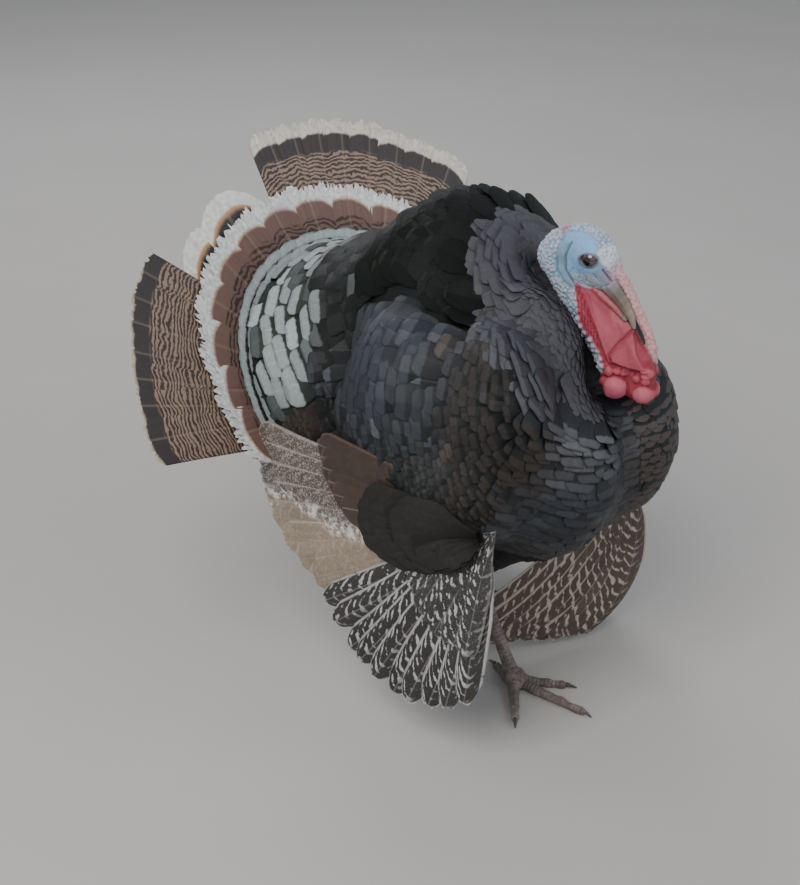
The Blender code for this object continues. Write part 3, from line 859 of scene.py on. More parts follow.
WING_COAT = (on_wing(0.028, 0.050), on_wing(0.0160, 0.0400), on_wing(0.0075, 0.0160), on_wing(0.0115, 0.0280),
             on_wing(0.0050, 0.0080), wing_dye, dict(rough=0.42, level=0.26, edge_dark=0.5, barb=40.0))
COATS = {
    # title: where, outline, length, width, row step, file step, lift, dye, finish settings
    "mantle": (INNER, "round", 0.052, 0.038, 0.0140, 0.0250, 0.0105, mantle_dye,
               dict(rough=0.50, level=0.10, edge_dark=0.25)),
    "collar": (part_of("neck_feathered") & ~PLANKS, "round", by_gap(0.016, 0.026), by_gap(0.013, 0.017),
               by_gap(0.0042, 0.0062), by_gap(0.0080, 0.0105), by_gap(0.0012, 0.0016), collar_dye,
               dict(rough=0.52, level=0.25, edge_dark=0.10, barb=16.0)),
    "collar_planks": (PLANKS, "blunt", 0.032, 0.034, 0.0088, 0.0210, 0.0030, collar_dye,
                      dict(rough=0.45, level=0.28, edge_dark=0.35, barb=20.0)),
    "breast_coat": (part_of("breast") & ~LEFT_LOBE, "blunt", 0.038, 0.034, sized(0.0095, 0.0080, 2, 0.25, 0.40), 0.0210,
                    0.0045, breast_dye, dict(rough=0.46, level=0.26, edge_dark=0.35)),
    "breast_lobe_coat": (LEFT_LOBE, "round", 0.030, 0.022, 0.0085, 0.0130, 0.0018, breast_dye,
                         dict(rough=0.48, level=0.25, edge_dark=0.12, barb=16.0)),
    "wing_coat_right": (part_of("wing_right"), "blunt", *WING_COAT),
    "wing_coat_left": (part_of("wing_left"), "blunt", *WING_COAT),
    "belly_coat": (part_of("trunk", "thigh_left", "thigh_right"), "round", 0.042, 0.026, 0.0140, 0.0160, 0.0070,
                   worn_dye(BLACK * 1.1, BLACK * 1.5, BROWN * 0.5, 0.85, 6),
                   dict(rough=0.6, level=0.18, edge_dark=0.2)),
    "undertail_coat": (part_of("undertail"), "round", 0.046, 0.034, 0.0150, 0.0210, 0.0060,
                       worn_dye(BROWN * 1.2, BROWN * 2.2, BROWN * 2, 0.85, 7),
                       dict(rough=0.6, level=0.2, edge_dark=0.2)),
}

# %% Grow the body coat
coats = {}
for number, (title, recipe) in enumerate(COATS.items()):
    where, outline, *sizes, dye, finish = recipe
    length, width, row, file, lift = [
        size if callable(size) else (lambda points, size=size: np.full(len(points), size)) for size in sizes]
    roots = spread(where, row(skin_points), file(skin_points), 10 + number)
    coat = vanes(title, roots, outline, length(roots[0]), width(roots[0]), lift(roots[0]), 30 + number, dye)
    coat.data.materials.append(contour_finish(title + "_finish", **finish))
    coats[title] = coat

# %% [markdown]
# The rump stands in arcs, parallel to the dish of the tail: each arc is the cut of a
# plane with the body, so the rows are found as cuts, one step further forward each
# time.  The rows next to the coverts have blunt pale tips; towards the back the pale
# tips fail one by one until only black feathers are left.  The lowest part is a plain
# dark brown lobe.

# %% Rump arcs
def fan_points(angle, radius, lift):
    """Places in the fan: the reverse of in_fan, with the angle in radians."""
    flat = -np.sin(angle)[..., None] * np.array((1.0, 0, 0)) + np.cos(angle)[..., None] * np.array(FAN_UP)
    rise = radius * math.tan(FAN_DISH) + lift
    return np.array(FAN_ROOT) + flat * radius[..., None] + np.array(FAN_OUT) * rise[..., None]


RUMP_STEP = 0.0165
RUMP_FILE = 0.0340
FIRST_ARC = 0.066
PALE_ROWS = 5.2
RUMP_BASE = hue(0.022, 0.028, 0.022)
RUMP_LOOK = dict(rough=0.45, level=0.18, edge_dark=0.35, barb=40.0)


def rump_arcs(seed):
    rng = np.random.default_rng(seed)
    near = grown(part_of("rump"), 2)
    pairs = edges[near[edges].all(1)]
    height = in_fan(skin_points)[2]
    places, rows = [], []
    for row in range(40):
        level = FIRST_ARC + row * RUMP_STEP
        low, high = height[pairs[:, 0]], height[pairs[:, 1]]
        cut = (low - level) * (high - level) < 0
        if cut.sum() < 20:
            continue
        share = ((level - low[cut]) / (high[cut] - low[cut]))[:, None]
        ring = skin_points[pairs[cut, 0]] * (1 - share) + skin_points[pairs[cut, 1]] * share
        angle, radius = in_fan(ring)[:2]
        steps = np.array([step for step in np.arange(angle.min(), angle.max(), 1.0)
                          if (np.abs(angle - step) < 4).any()])
        reach = np.array([np.median(radius[np.abs(angle - step) < 4]) for step in steps])
        run = np.concatenate([[0], np.cumsum(np.radians(np.diff(steps)) * 0.5 * (reach[1:] + reach[:-1]))])
        stops = np.arange(run[-1] / 2 % RUMP_FILE + 0.5 * RUMP_FILE * (row % 2) - RUMP_FILE, run[-1], RUMP_FILE)
        stops = stops[stops > 0] + rng.normal(0, 0.0016, (stops > 0).sum())
        turn, far = np.radians(np.interp(stops, run, steps)), np.interp(stops, run, reach)
        places.append(fan_points(turn, far, level + rng.normal(0, 0.0010, len(far))))
        rows.append(np.full(len(far), row))
    places, rows = np.concatenate(places), np.concatenate(rows)
    normals = nearest(skin_tree, places)[1]
    heads = -np.array(FAN_OUT) + (normals @ np.array(FAN_OUT))[:, None] * normals
    print("rump arcs", rows.max() + 1, "roots", len(rows))
    return places, normals, unit(heads), rows.astype(float)


def rump_dye(places, row, rng):
    angle = in_fan(places)[0]
    chance = rng.random(len(places))
    pale = np.clip((PALE_ROWS - row) / 1.2 + (chance - 0.5) * 1.2, 0, 1)
    pale = np.maximum(pale, 0.8 * ((chance > 0.93) & (row < PALE_ROWS + 4)))
    odd = 0.22 + 0.78 * (rng.random(len(places)) > 0.13)
    low = np.clip((np.abs(angle) - 84) / 6, 0, 1)[:, None]
    tip = blended(BLACK, PALE * rng.uniform(0.65, 1.0, (len(places), 1)), pale * odd)
    return {
        "dye": blended(BLACK, RUMP_BASE, pale) * (1 - low) + low * BROWN * 0.6,
        "tipdye": tip * (1 - low) + low * BROWN * 0.7,
        "band": np.full(len(places), 0.745) + rng.normal(0, 0.012, len(places)),
    }


rump_coat = vanes("rump_coat", rump_arcs(20), "blunt", 0.052, 0.043, 0.0060, 50, rump_dye, camber=0.02, roll=0.03,
                  spring=0.0)
rump_coat.data.materials.append(contour_finish("rump_finish", **RUMP_LOOK))
coats["rump_coat"] = rump_coat

# %% [markdown]
# The skin under the coat takes the colour of the feathers that grow from it.

# %% Skin finish
SKIN_HUES = {"neck_feathered": SLATE * 0.6, "breast": SLATE * 0.5, "wing_left": SLATE * 0.4,
             "wing_right": SLATE * 0.4, "undertail": BROWN}
add_attribute(skin.data, "dye", np.array([SKIN_HUES.get(FLESH[k], BLACK) for k in region]))
under = Finish("under_skin", Roughness=0.7)
under.shader.inputs["Specular IOR Level"].default_value = 0.2
down = under.noise(under.place(), 300.0, 4.0)
under.colour(under.shade(under.attribute("dye", "Color"), down * 0.8 + 0.5))
under.bump(down, 0.001)
skin.data.materials.append(under.material)

# %% [markdown]
# ## Flight feathers, one by one
# Tail and wing quills are large enough to be seen singly, so each is a sheet of its own:
# a narrow base, a full vane, a slight camber and a worn, ragged tip.  A sheet is laid
# out in polar steps round the root of the fan or the wrist, exactly where the solid
# has it, and tilted a little so that it overlaps its neighbour like a slat.

# %% Quill sheets
QUILL_WALL = 0.0005


def wing_points(side, heading, face):
    """Places on a hanging wing: angles run from straight down towards the heading."""
    heading = np.array(heading)
    face = np.array(face)

    def place(angle, radius, lift):
        swell = lift + (WING_BULGE * np.sin(np.minimum(radius / 0.30, 1.0) * math.pi / 2) if face[0] == side else 0)
        drop = -np.cos(angle)[..., None] * np.array((0, 0, 1.0)) + np.sin(angle)[..., None] * heading
        return np.array(WRIST[side]) + drop * radius[..., None] + face * swell[..., None]
    return place


def on_grid(first, second, like):
    """Two values for every point of a sheet, as one list of pairs."""
    return np.stack([np.broadcast_to(first, like.shape), np.broadcast_to(second, like.shape)], -1).reshape(-1, 2)


def quills(title, place, feathers, seed, columns=14, rows=24):
    """Sheets for (angle, inner, outer, half width, lift, tilt, round, fray, curl) tuples."""
    rng = np.random.default_rng(seed)
    c = np.linspace(-1, 1, columns + 1)[None, :]
    s = np.linspace(0, 1, rows + 1)[:, None] ** 0.85
    points, vane, chart, tone = [], [], [], []
    for number, (angle, inner, outer, half, lift, tilt, dome, fray, curl) in enumerate(feathers):
        whole = outer - dome * np.abs(c) ** 2.6
        reach = whole - fray * rng.random(c.shape) ** 1.6
        radius = inner + (reach - inner) * s
        swell = half * (0.30 + 0.70 * np.clip(s / 0.45, 0, 1) ** 0.7)
        across = c * swell + 0.0015 * np.sin(s * 5 + number)
        turn = angle + across / np.maximum(radius, 0.06) + curl * s ** 2
        camber = 0.08 * half * (1 - c ** 2) - 0.0008 * np.exp(-(c / 0.12) ** 2)
        height = lift + tilt * across + camber + rng.normal(0, 0.0003, c.shape) * s
        for layer, drop in enumerate((0.0, -QUILL_WALL)):
            points.append(place(turn + 0 * s, radius, height + drop).reshape(-1, 3))
            vane.append(on_grid(c * 0.5 + 0.5, (radius - inner) / (whole - inner), radius))
            chart.append(on_grid((number + 0.04 + 0.92 * (c * 0.5 + 0.5)) / len(feathers),
                                 0.01 + 0.5 * layer + 0.47 * s, radius))
        tone.append(np.full(radius.size * 2, rng.random()))
    size = (rows + 1) * (columns + 1)
    base = np.arange(size).reshape(rows + 1, columns + 1)
    top = np.stack([base[:-1, :-1], base[:-1, 1:], base[1:, 1:], base[1:, :-1]], -1).reshape(-1, 4)
    loop = np.concatenate([base[0, :-1], base[:-1, -1], base[-1, :0:-1], base[:0:-1, 0]])
    rim = np.stack([loop, loop + size, np.roll(loop, -1) + size, np.roll(loop, -1)], -1)
    one = np.concatenate([top, top[:, ::-1] + size, rim])
    faces = np.concatenate([one + 2 * size * number for number in range(len(feathers))])
    made = new_mesh_object(title, np.concatenate(points), faces)
    add_uv(made.data, "vane", np.concatenate(vane))
    add_uv(made.data, "OFBake", np.concatenate(chart))
    add_attribute(made.data, "tone", np.concatenate(tone))
    bm = bmesh.new()
    bm.from_mesh(made.data)
    bmesh.ops.recalc_face_normals(bm, faces=bm.faces)
    bm.to_mesh(made.data)
    bm.free()
    made.data.set_sharp_from_angle(angle=math.radians(50))
    print(title, len(feathers), "feathers,", len(faces), "faces")
    return made


def row_of(first, last, count, inner, outer, half, lift=0.0, tilt=0.0, dome=0.012, fray=0.004, curl=(0, 0, 0),
           jitter=0.0):
    """Feathers at even steps between two angles in degrees; reach and curl are (start, middle, end)."""
    rng = np.random.default_rng(int(abs(first) * 10 + count))
    made = []
    for index in range(count):
        share = (index + 0.5) / count
        angle = math.radians(first + (last - first) * share + rng.normal(0, jitter))
        far = three(outer, share) + rng.normal(0, 0.0015)
        made.append((angle, inner, far, half, lift, tilt, dome, fray, math.radians(three(curl, share))))
    return made


def three(ends, share):
    start, middle, end = ends
    return start + (end - start) * share + (middle - (start + end) / 2) * 4 * share * (1 - share)


tail = {
    "tail_right_quills": (row_of(45, 85, 7, 0.04, (0.342, 0.351, 0.360), 0.030, tilt=-0.035, dome=0.008, fray=0.006,
                                jitter=0.3), 61),
    "tail_lone_quills": ([(math.radians(33), 0.04, 0.300, 0.062, -0.007, -0.03, 0.044, 0.003, 0.0),
                          (math.radians(20), 0.04, 0.306, 0.066, -0.003, -0.03, 0.044, 0.003, 0.0)], 62),
    "tail_top_quills": (row_of(-52, 1.5, 8, 0.04, (0.370, 0.362, 0.347), 0.032, tilt=0.035, dome=0.010, fray=0.008,
                              jitter=0.4), 63),
    "tail_left_quills": (row_of(-85, -53, 6, 0.04, (0.350, 0.340, 0.328), 0.030, lift=-0.004, tilt=0.035,
                                fray=0.012), 64),
}
tail_pieces = {title: quills(title, fan_points, feathers, seed, columns=26, rows=30)
               for title, (feathers, seed) in tail.items()}

# %% [markdown]
# The coverts lie on the roots of the tail.  Two staggered rows are used, with long
# ragged tips: their white fringe is the brightest arc of the whole bird.

# %% Tail coverts
def covert_row(count, stretch, lift):
    made = []
    for index in range(count):
        angle = math.radians(-92 + 184 * (index + 0.5) / count)
        reach = 0.270 - 0.030 * abs(math.sin(angle)) ** 6 + stretch
        made.append((angle, 0.09, reach, 0.040, lift, -0.02, 0.020, 0.010, 0.0))
    return made


def plain_dye(piece, base, tip, band):
    """The same colours for every feather of a piece."""
    count = len(piece.data.vertices)
    add_attribute(piece.data, "dye", np.tile(base, (count, 1)))
    add_attribute(piece.data, "tipdye", np.tile(tip, (count, 1)))
    add_attribute(piece.data, "band", np.full(count, band))


FRINGE_HALF = 0.0195
FRINGE_ROWS = ((0.213, 0.0110, 23), (0.201, 0.0145, 22))  # reach, lift, count
fringe_feathers = [(turn, 0.150, reach - 0.012 * abs(math.sin(turn)) ** 4, FRINGE_HALF, lift, 0.02, 0.004, 0.0015, 0.0)
                   for reach, lift, count in FRINGE_ROWS
                   for turn in map(math.radians, np.linspace(-97, 97, count))]
fringe = quills("rump_fringe", fan_points, fringe_feathers, 66, columns=12, rows=8)
plain_dye(fringe, RUMP_BASE, PALE, 0.80)
fringe.data.materials.append(contour_finish("fringe_finish", **RUMP_LOOK))

coverts = quills("tail_covert_quills", fan_points, covert_row(15, 0.004, 0.0050) + covert_row(14, 0.0, 0.0075),
                 65, columns=36, rows=20)

# %% [markdown]
# A wing's quills hang from the wrist.  Secondaries are broad and rounded, primaries
# narrower; short coverts hide the roots of both.  Under the right wing's lower edge
# shows a velvet lobe: broad soft feathers in three short rows.

# %% Wing quills
BACKWARD = (0, 1, 0)
INWARD = (-0.88, 0.47, 0)
right_wing = wing_points(-1, BACKWARD, (-1, 0, 0))
left_wing = wing_points(1, BACKWARD, (1, 0, 0))
left_front = wing_points(1, INWARD, (-0.47, -0.88, 0))
wings = {
    "primaries_right_quills": (right_wing, row_of(3, 55, 10, 0.04, (0.200, 0.272, 0.274), 0.0175, tilt=0.15,
                                                  dome=0.034, fray=0.006, jitter=1.2), 71),
    "primary_coverts_right": (right_wing, row_of(6, 60, 12, 0.0, (0.150, 0.148, 0.118), 0.015, lift=0.003,
                                                 tilt=0.08, dome=0.012, fray=0.005, jitter=1.0), 72),
    "secondaries_right_quills": (right_wing, row_of(57, 95, 8, 0.08, (0.266, 0.318, 0.318), 0.024, tilt=0.06,
                                                    dome=0.020, fray=0.005), 73),
    "greater_coverts_right": (right_wing, row_of(79, 101, 6, 0.05, (0.185, 0.215, 0.225), 0.022, lift=0.004,
                                                 tilt=0.06, dome=0.014, fray=0.003), 74),
    "primaries_left_quills": (left_front, row_of(-8, 50, 9, 0.04, (0.222, 0.252, 0.312), 0.018, tilt=0.08,
                                                 dome=0.020, fray=0.006, curl=(22, 14, 6)), 75),
    "secondaries_left_quills": (left_wing, row_of(24, 100, 12, 0.08, (0.208, 0.285, 0.330), 0.024, tilt=0.06,
                                                  dome=0.020, fray=0.005), 76),
    "greater_coverts_left": (left_wing, row_of(30, 100, 12, 0.05, (0.150, 0.190, 0.220), 0.023, lift=0.004,
                                               tilt=0.06, dome=0.014, fray=0.003), 77),
}
LOBE_EDGE = ((34, 0.040), (42, 0.062), (50, 0.090), (60, 0.138), (70, 0.166), (80, 0.168), (90, 0.150))
LOBE_ROWS = ((1.0, 0.010, 9), (0.86, 0.014, 8), (0.70, 0.017, 7))  # share of the edge's reach, lift, count
LOBE_HALF, LOBE_WIDENING = 0.012, 0.00014
lobe = [(math.radians(angle), 0.012, np.interp(angle, *zip(*LOBE_EDGE)) * part, LOBE_HALF + angle * LOBE_WIDENING,
         lift, 0.03, 0.014, 0.001, 0.0)
        for part, lift, count in LOBE_ROWS
        for angle in np.linspace(45, 87, count)]
wings["flank_lobe"] = (right_wing, lobe, 78)
wing_pieces = {title: quills(title, place, feathers, seed) for title, (place, feathers, seed) in wings.items()}
plain_dye(wing_pieces["flank_lobe"], (0.0275, 0.0265, 0.0250), (0.031, 0.0295, 0.0275), 0.85)

# %% [markdown]
# ## Patterns on the quills
# The vane map says how far a point is from the tip.  Tail quills carry a pale tip, a
# dark band, then wavy bars of buff and black.

# %% Quill finishes
def quill_base(title, rough=0.5):
    made = Finish(title, Roughness=rough)
    across, along = made.vane()
    place = made.place()
    grain = made.noise(place, 260.0, 4.0)
    drift = made.noise(place, 28.0, 3.0)
    off = (across - 0.5).size() * 2.0
    return made, across, along, place, grain, drift, off


def quill_close(made, colour, along, grain, off, rough, shaft=(0.36, 0.28, 0.20), share=0.6, length=0.31):
    ribs = ((along * (length / 0.0016) - off * 9.0) * FULL_TURN + grain * 3.0).sine() * 0.5 + 0.5
    spine = 1.0 - off.rise(0.02, 0.07)
    colour = made.mix(spine * share, colour, shaft)
    edge = 1.0 - off.rise(0.90, 1.0) * 0.35
    made.colour(made.shade(colour, (ribs * 0.20 + 0.88) * edge * (grain * 0.3 + 0.85)))
    made.roughness(rough + (ribs - 0.5) * 0.1)
    made.bump(ribs * 0.5 + grain * 0.5 + spine, 0.0004, 0.6)
    return made.material


def tail_finish(title, tip_depth, tip_colour, flush=0.0, band_depth=0.070):
    made, across, along, place, grain, drift, off = quill_base(title)
    back = 1.0 - along + (grain - 0.5) * 0.012 + (drift - 0.5) * 0.03
    bars = ((back * 58.0 + (drift - 0.5) * 3.0 + off * 0.5) * FULL_TURN).sine()
    broken = made.noise(place, 90.0, 2.0)
    dark = (bars + (broken - 0.5) * 2.4).rise(-0.40, 0.40)
    field = made.mix(dark, (0.270, 0.185, 0.135), (0.042, 0.028, 0.025))
    band = back.rise(tip_depth + band_depth + 0.008, tip_depth + band_depth - 0.006)
    colour = made.mix(band, field, (0.038, 0.030, 0.030))
    if flush:
        warm = back.rise(tip_depth + flush, tip_depth)
        colour = made.mix(warm, colour, (0.58, 0.33, 0.16))
    white = back.rise(tip_depth + 0.006, tip_depth - 0.006)
    frayed = made.mix(made.noise(place, 160.0).rise(0.35, 0.75), tip_colour,
                      tuple(0.72 * value for value in tip_colour))
    colour = made.mix(white, colour, frayed)
    return quill_close(made, colour, along, grain, off, 0.5, share=0.22)


def covert_finish(title):
    made, across, along, place, grain, drift, off = quill_base(title, 0.6)
    back = 1.0 - along + (drift - 0.5) * 0.04
    lines = ((back * 26.0 + (drift - 0.5) * 4.0) * FULL_TURN).sine()
    dark = (lines + (grain - 0.5) * 1.4).rise(-0.2, 0.5)
    field = made.mix(dark, (0.140, 0.074, 0.058), (0.030, 0.018, 0.016))
    colour = made.mix(back.rise(0.24, 0.21), field, (0.150, 0.082, 0.066))
    colour = made.mix(back.rise(0.125, 0.105), colour, (0.40, 0.27, 0.20))
    streak = made.noise(place, 200.0).rise(0.3, 0.7)
    colour = made.mix((back + (grain - 0.5) * 0.05).rise(0.112, 0.088), colour,
                      made.mix(streak, (0.74, 0.74, 0.72), (0.50, 0.51, 0.51)))
    return quill_close(made, colour, along, grain, off, 0.6, share=0.2, length=0.17)


def barred_finish(title, base, bar, amount, spacing, pale_edge=0.0, speckle=0.0, length=0.23, slant=0.8,
                  broken_up=3.0, tan_below=None, marks=130.0):
    """Dark vanes with broken pale marks; one web's edge pale; fine specks; a tip of its own colour."""
    made, across, along, place, grain, drift, off = quill_base(title)
    tone = made.attribute("tone")
    bars = ((along * (length / spacing) + off * slant + (drift - 0.5) * 2.0 + tone * 3.0) * FULL_TURN).sine()
    broken = made.noise(place, marks, 4.0, 0.65)
    web = across.rise(0.30, 0.60) * 0.7 + 0.3
    light = (bars + (broken - 0.5) * 2 * broken_up).rise(0.55, 1.15) * amount * web
    shaded = made.shade(made.mix(tone, base, tuple(0.7 * value for value in base)), drift * 0.6 + 0.7)
    if tan_below:
        height = made.node("ShaderNodeSeparateXYZ", values=[place], output=2)
        low = (height + (drift - 0.5) * 0.05).rise(tan_below + 0.006, tan_below - 0.006)
        tan = made.mix(grain, (0.20, 0.15, 0.105), (0.31, 0.24, 0.175))
        shaded = made.mix(low, shaded, made.shade(tan, drift + 0.5))
        patch = (height + (drift - 0.5) * 0.06 - tan_below).size().rise(0.016, 0.004) * broken.rise(0.42, 0.60)
        shaded = made.mix(patch, shaded, (0.62, 0.60, 0.57))
        speckle = (1.0 - low * 0.6) * speckle
    colour = made.mix(light, shaded, bar)
    if speckle:
        specks = made.noise(place, 480.0, 2.0).rise(0.50, 0.64)
        colour = made.mix(specks * speckle, colour, bar)
    if pale_edge:
        rim = across.rise(0.10, 0.05).greater(across.rise(0.90, 0.955)).greater(along.rise(0.975, 0.992))
        colour = made.mix(rim * broken.rise(0.22, 0.42) * pale_edge, colour, bar)
    return quill_close(made, colour, along, grain, off, 0.55, shaft=(0.24, 0.21, 0.18), share=0.45, length=length)


CREAM = (0.66, 0.60, 0.50)
tail_pieces["tail_right_quills"].data.materials.append(tail_finish("worn_tail", 0.012, (0.50, 0.40, 0.28)))
tail_pieces["tail_lone_quills"].data.materials.append(tail_finish("lone_tail", 0.085, (0.80, 0.79, 0.75), 0.035, 0.13))
tail_pieces["tail_top_quills"].data.materials.append(tail_finish("tail", 0.065, CREAM))
tail_pieces["tail_left_quills"].data.materials.append(tail_finish("tail_far", 0.065, CREAM))
coverts.data.materials.append(covert_finish("tail_covert"))
WHITE_BAR = (0.44, 0.43, 0.42)
INK = (0.030, 0.027, 0.026)
# base and bar colour, how strong and how far apart the bars are, pale edge, speckle
SECONDARY = ((0.100, 0.078, 0.062), (0.40, 0.36, 0.32), 0.25, 0.02, 0.6, 0.75)
GREATER_COVERT = ((0.050, 0.030, 0.021), (0.16, 0.10, 0.07), 0.15, 0.003, 0.4)
wing_looks = {
    "primaries_right_quills": barred_finish("primary", INK, WHITE_BAR, 0.95, 0.0150, 0.9, broken_up=3.2, marks=85.0),
    "primary_coverts_right": barred_finish("primary_covert", INK, WHITE_BAR, 0.95, 0.0100, 0.2, 0.10, length=0.11,
                                           broken_up=4.0, marks=110.0),
    "secondaries_right_quills": barred_finish("secondary", *SECONDARY, broken_up=2.0, tan_below=0.245),
    "greater_coverts_right": barred_finish("greater_covert", *GREATER_COVERT),
    "primaries_left_quills": barred_finish("primary_far", (0.100, 0.070, 0.054), (0.50, 0.42, 0.34), 0.9, 0.016, 0.9,
                                           broken_up=2.2, marks=100.0),
    "secondaries_left_quills": barred_finish("secondary_far", *SECONDARY, broken_up=2.0),
    "greater_coverts_left": barred_finish("greater_covert_far", *GREATER_COVERT),
    "flank_lobe": contour_finish("velvet", rough=0.75, level=0.06, edge_dark=0.0, barb=60.0),
}
for title, finish in wing_looks.items():
    wing_pieces[title].data.materials.append(finish)
print("quill finishes done")

# %% [markdown]
# ## The bare head and neck
# A tom's head has no feathers.  Its skin is modelled like clay: the solids of head,
# neck, snood and wattle are melted into one fine mesh, and then pushed and pulled by
# rules written in the head's own directions: ahead along the bill, up, and right.

# %% Melt the head into one skin
# (ahead, up, right, radius) in metres: the neck's core, the nape and the bulbs below
CORE = [(-0.021, -0.031, 0.0, 0.0215), (-0.010, -0.033, 0.0, 0.0205), (0.000, -0.036, 0.0, 0.0205),
        (0.036, -0.043, 0.0, 0.0208), (0.074, -0.048, 0.0, 0.0210), (0.100, -0.058, 0.0, 0.0205)]
BULBS = [(0.1212, -0.0734, 0.0080, 0.0132), (0.1464, -0.0590, -0.0035, 0.0088), (0.1390, -0.0500, -0.0020, 0.0075),
         (0.1266, -0.0560, 0.0000, 0.0100), (0.1130, -0.0640, 0.0000, 0.0150), (0.1040, -0.0800, 0.0040, 0.0060),
         (0.1075, -0.0670, 0.0130, 0.0056), (0.1160, -0.0580, 0.0125, 0.0052), (0.1100, -0.0840, -0.0060, 0.0070),
         (0.1300, -0.0500, 0.0070, 0.0050), (0.1370, -0.0600, 0.0050, 0.0048), (0.1280, -0.0700, -0.0120, 0.0090)]


def clay(lumps_of_clay):
    """Overlapping balls in the head's own directions, for melting."""
    bm = bmesh.new()
    for ahead, up, right, radius in lumps_of_clay:
        centre = SKULL + AHEAD * ahead + UPWARD * up + RIGHT * right
        bmesh.ops.create_icosphere(bm, subdivisions=3, radius=radius, matrix=Matrix.Translation(centre))
    return mesh_from(bm, "clay")


def between(lumps_of_clay, steps):
    """The same row of balls with more balls put in between."""
    rows = np.array(lumps_of_clay)
    at = np.linspace(0, len(rows) - 1, steps)
    return np.stack([np.interp(at, np.arange(len(rows)), rows[:, k]) for k in range(4)], 1).tolist()


head = join_copies([name for name in BARE if name != "caruncles"] + ["eye_left", "eye_right"], "head_skin")
bm = bmesh.new()
bm.from_mesh(head.data)
bm.from_mesh(clay(between(CORE, 40) + BULBS))
bm.to_mesh(head.data)
bm.free()
head = melt(head, 0.0011, 10)


def in_head(points):
    """How far ahead, up and right of the skull's centre points are."""
    rel = points - np.array(SKULL)
    return rel @ np.array(AHEAD), rel @ np.array(UPWARD), rel @ np.array(RIGHT)


# the neck's lower end is rounded in towards the largest bulb
END_AHEAD, END_UP, END_RADIUS = 0.1212, -0.0734, 0.0155
points = points_of(head.data)
ahead, up, side = in_head(points)
da, du = ahead - END_AHEAD, up - END_UP
gap = np.hypot(da, du)
squeeze = np.clip(gap - END_RADIUS, 0, None) * 0.88
squeeze *= np.clip((da + 0.0232) / 0.008, 0, 1) * np.clip((-du + 0.008) / 0.008, 0, 1)
points -= ((da / gap * squeeze)[:, None] * np.array(AHEAD) + (du / gap * squeeze)[:, None] * np.array(UPWARD))
set_points(head.data, points)
head_points = points_of(head.data)
head_normals = normals_of(head.data)
HEAD_PARTS = BARE + ["eye_left", "eye_right"]
nearest_part = nearest_solid(HEAD_PARTS, head_points)
head_edges = edges_of(head.data)
degree = np.bincount(head_edges.ravel(), minlength=len(head_points))


def feather_out(values, steps):
    """A mask or a field on the head's mesh, averaged with its neighbours."""
    for step in range(steps):
        total = np.bincount(head_edges[:, 0], values[head_edges[:, 1]], len(values))
        total += np.bincount(head_edges[:, 1], values[head_edges[:, 0]], len(values))
        values = 0.5 * values + 0.5 * total / np.maximum(degree, 1)
    return values


soft = {name: feather_out((nearest_part == k).astype(float), 4) for k, name in enumerate(HEAD_PARTS)}
along_head, up_head, side_head = in_head(head_points)
print("head skin", len(head.data.polygons), "faces")

# %% [markdown]
# Creases and ridges follow short lines on the side of the head.  One helper measures
# the distance of every point from such a line; a bell curve then raises or sinks it.

# %% Shapes drawn on the skin
def ramp(values, start, end):
    share = np.clip((values - start) / (end - start), 0, 1)
    return share * share * (3 - 2 * share)


def line_distance(line):
    """Distance from a bent line given in (ahead, up), in metres."""
    best = np.full(len(head_points), 1.0)
    for (a0, u0), (a1, u1) in zip(line, line[1:]):
        da, du = a1 - a0, u1 - u0
        share = np.clip(((along_head - a0) * da + (up_head - u0) * du) / (da * da + du * du), 0, 1)
        best = np.minimum(best, np.hypot(along_head - a0 - share * da, up_head - u0 - share * du))
    return best


def beside_line(line, ahead, up):
    return [(a + ahead, u + up) for a, u in line]


def bell(distance, width):
    return np.exp(-(distance / width) ** 2)


def inside(outline, soft_edge):
    """1 inside a closed outline in (ahead, up), 0 outside, with a soft edge."""
    closed = list(outline) + [outline[0]]
    odd = np.zeros(len(head_points), bool)
    for (a0, u0), (a1, u1) in zip(closed, closed[1:]):
        crosses = (u0 > up_head) != (u1 > up_head)
        odd ^= crosses & (along_head < a0 + (a1 - a0) * (up_head - u0) / ((u1 - u0) or 1e-9))
    gap = line_distance(closed) * np.where(odd, 1, -1)
    return ramp(gap, -soft_edge, soft_edge)


def lumps(size, seed):
    """Smooth noise, about -1 to 1, with lumps of a size in metres."""
    shift = Vector((seed * 5.3, seed * 2.9, seed * 1.1))
    return np.array([noise.noise(point / size + shift) for point in map(Vector, head_points - np.array(SKULL))])


NECK_LINE = ((-0.016, -0.024), (0.000, -0.036), (0.036, -0.043), (0.074, -0.047), (0.106, -0.061), (0.128, -0.086))
neck_axis = np.interp(along_head, *zip(*NECK_LINE))
above_axis = up_head - neck_axis
EYE_AT = (0.0093, 0.0070)
BLUE_PATCH = ((-0.031, 0.001), (-0.026, 0.010), (-0.019, 0.0165), (-0.010, 0.0225), (-0.002, 0.0245), (0.008, 0.0195),
              (0.013, 0.0145), (0.020, 0.010), (0.022, 0.003), (0.018, -0.006), (0.012, -0.014), (0.004, -0.020),
              (-0.0016, -0.0225), (-0.0105, -0.0129), (-0.0156, -0.0013), (-0.022, -0.003))
SMOOTH_FACE = ((-0.031, 0.001), (-0.026, 0.010), (-0.019, 0.0165), (-0.010, 0.0225), (-0.002, 0.0245), (0.008, 0.0195),
               (0.013, 0.0145), (0.030, 0.012), (0.050, 0.010), (0.060, -0.020), (0.019, -0.0310), (0.008, -0.0355),
               (-0.008, -0.0330), (-0.0195, -0.0210), (-0.025, -0.009))
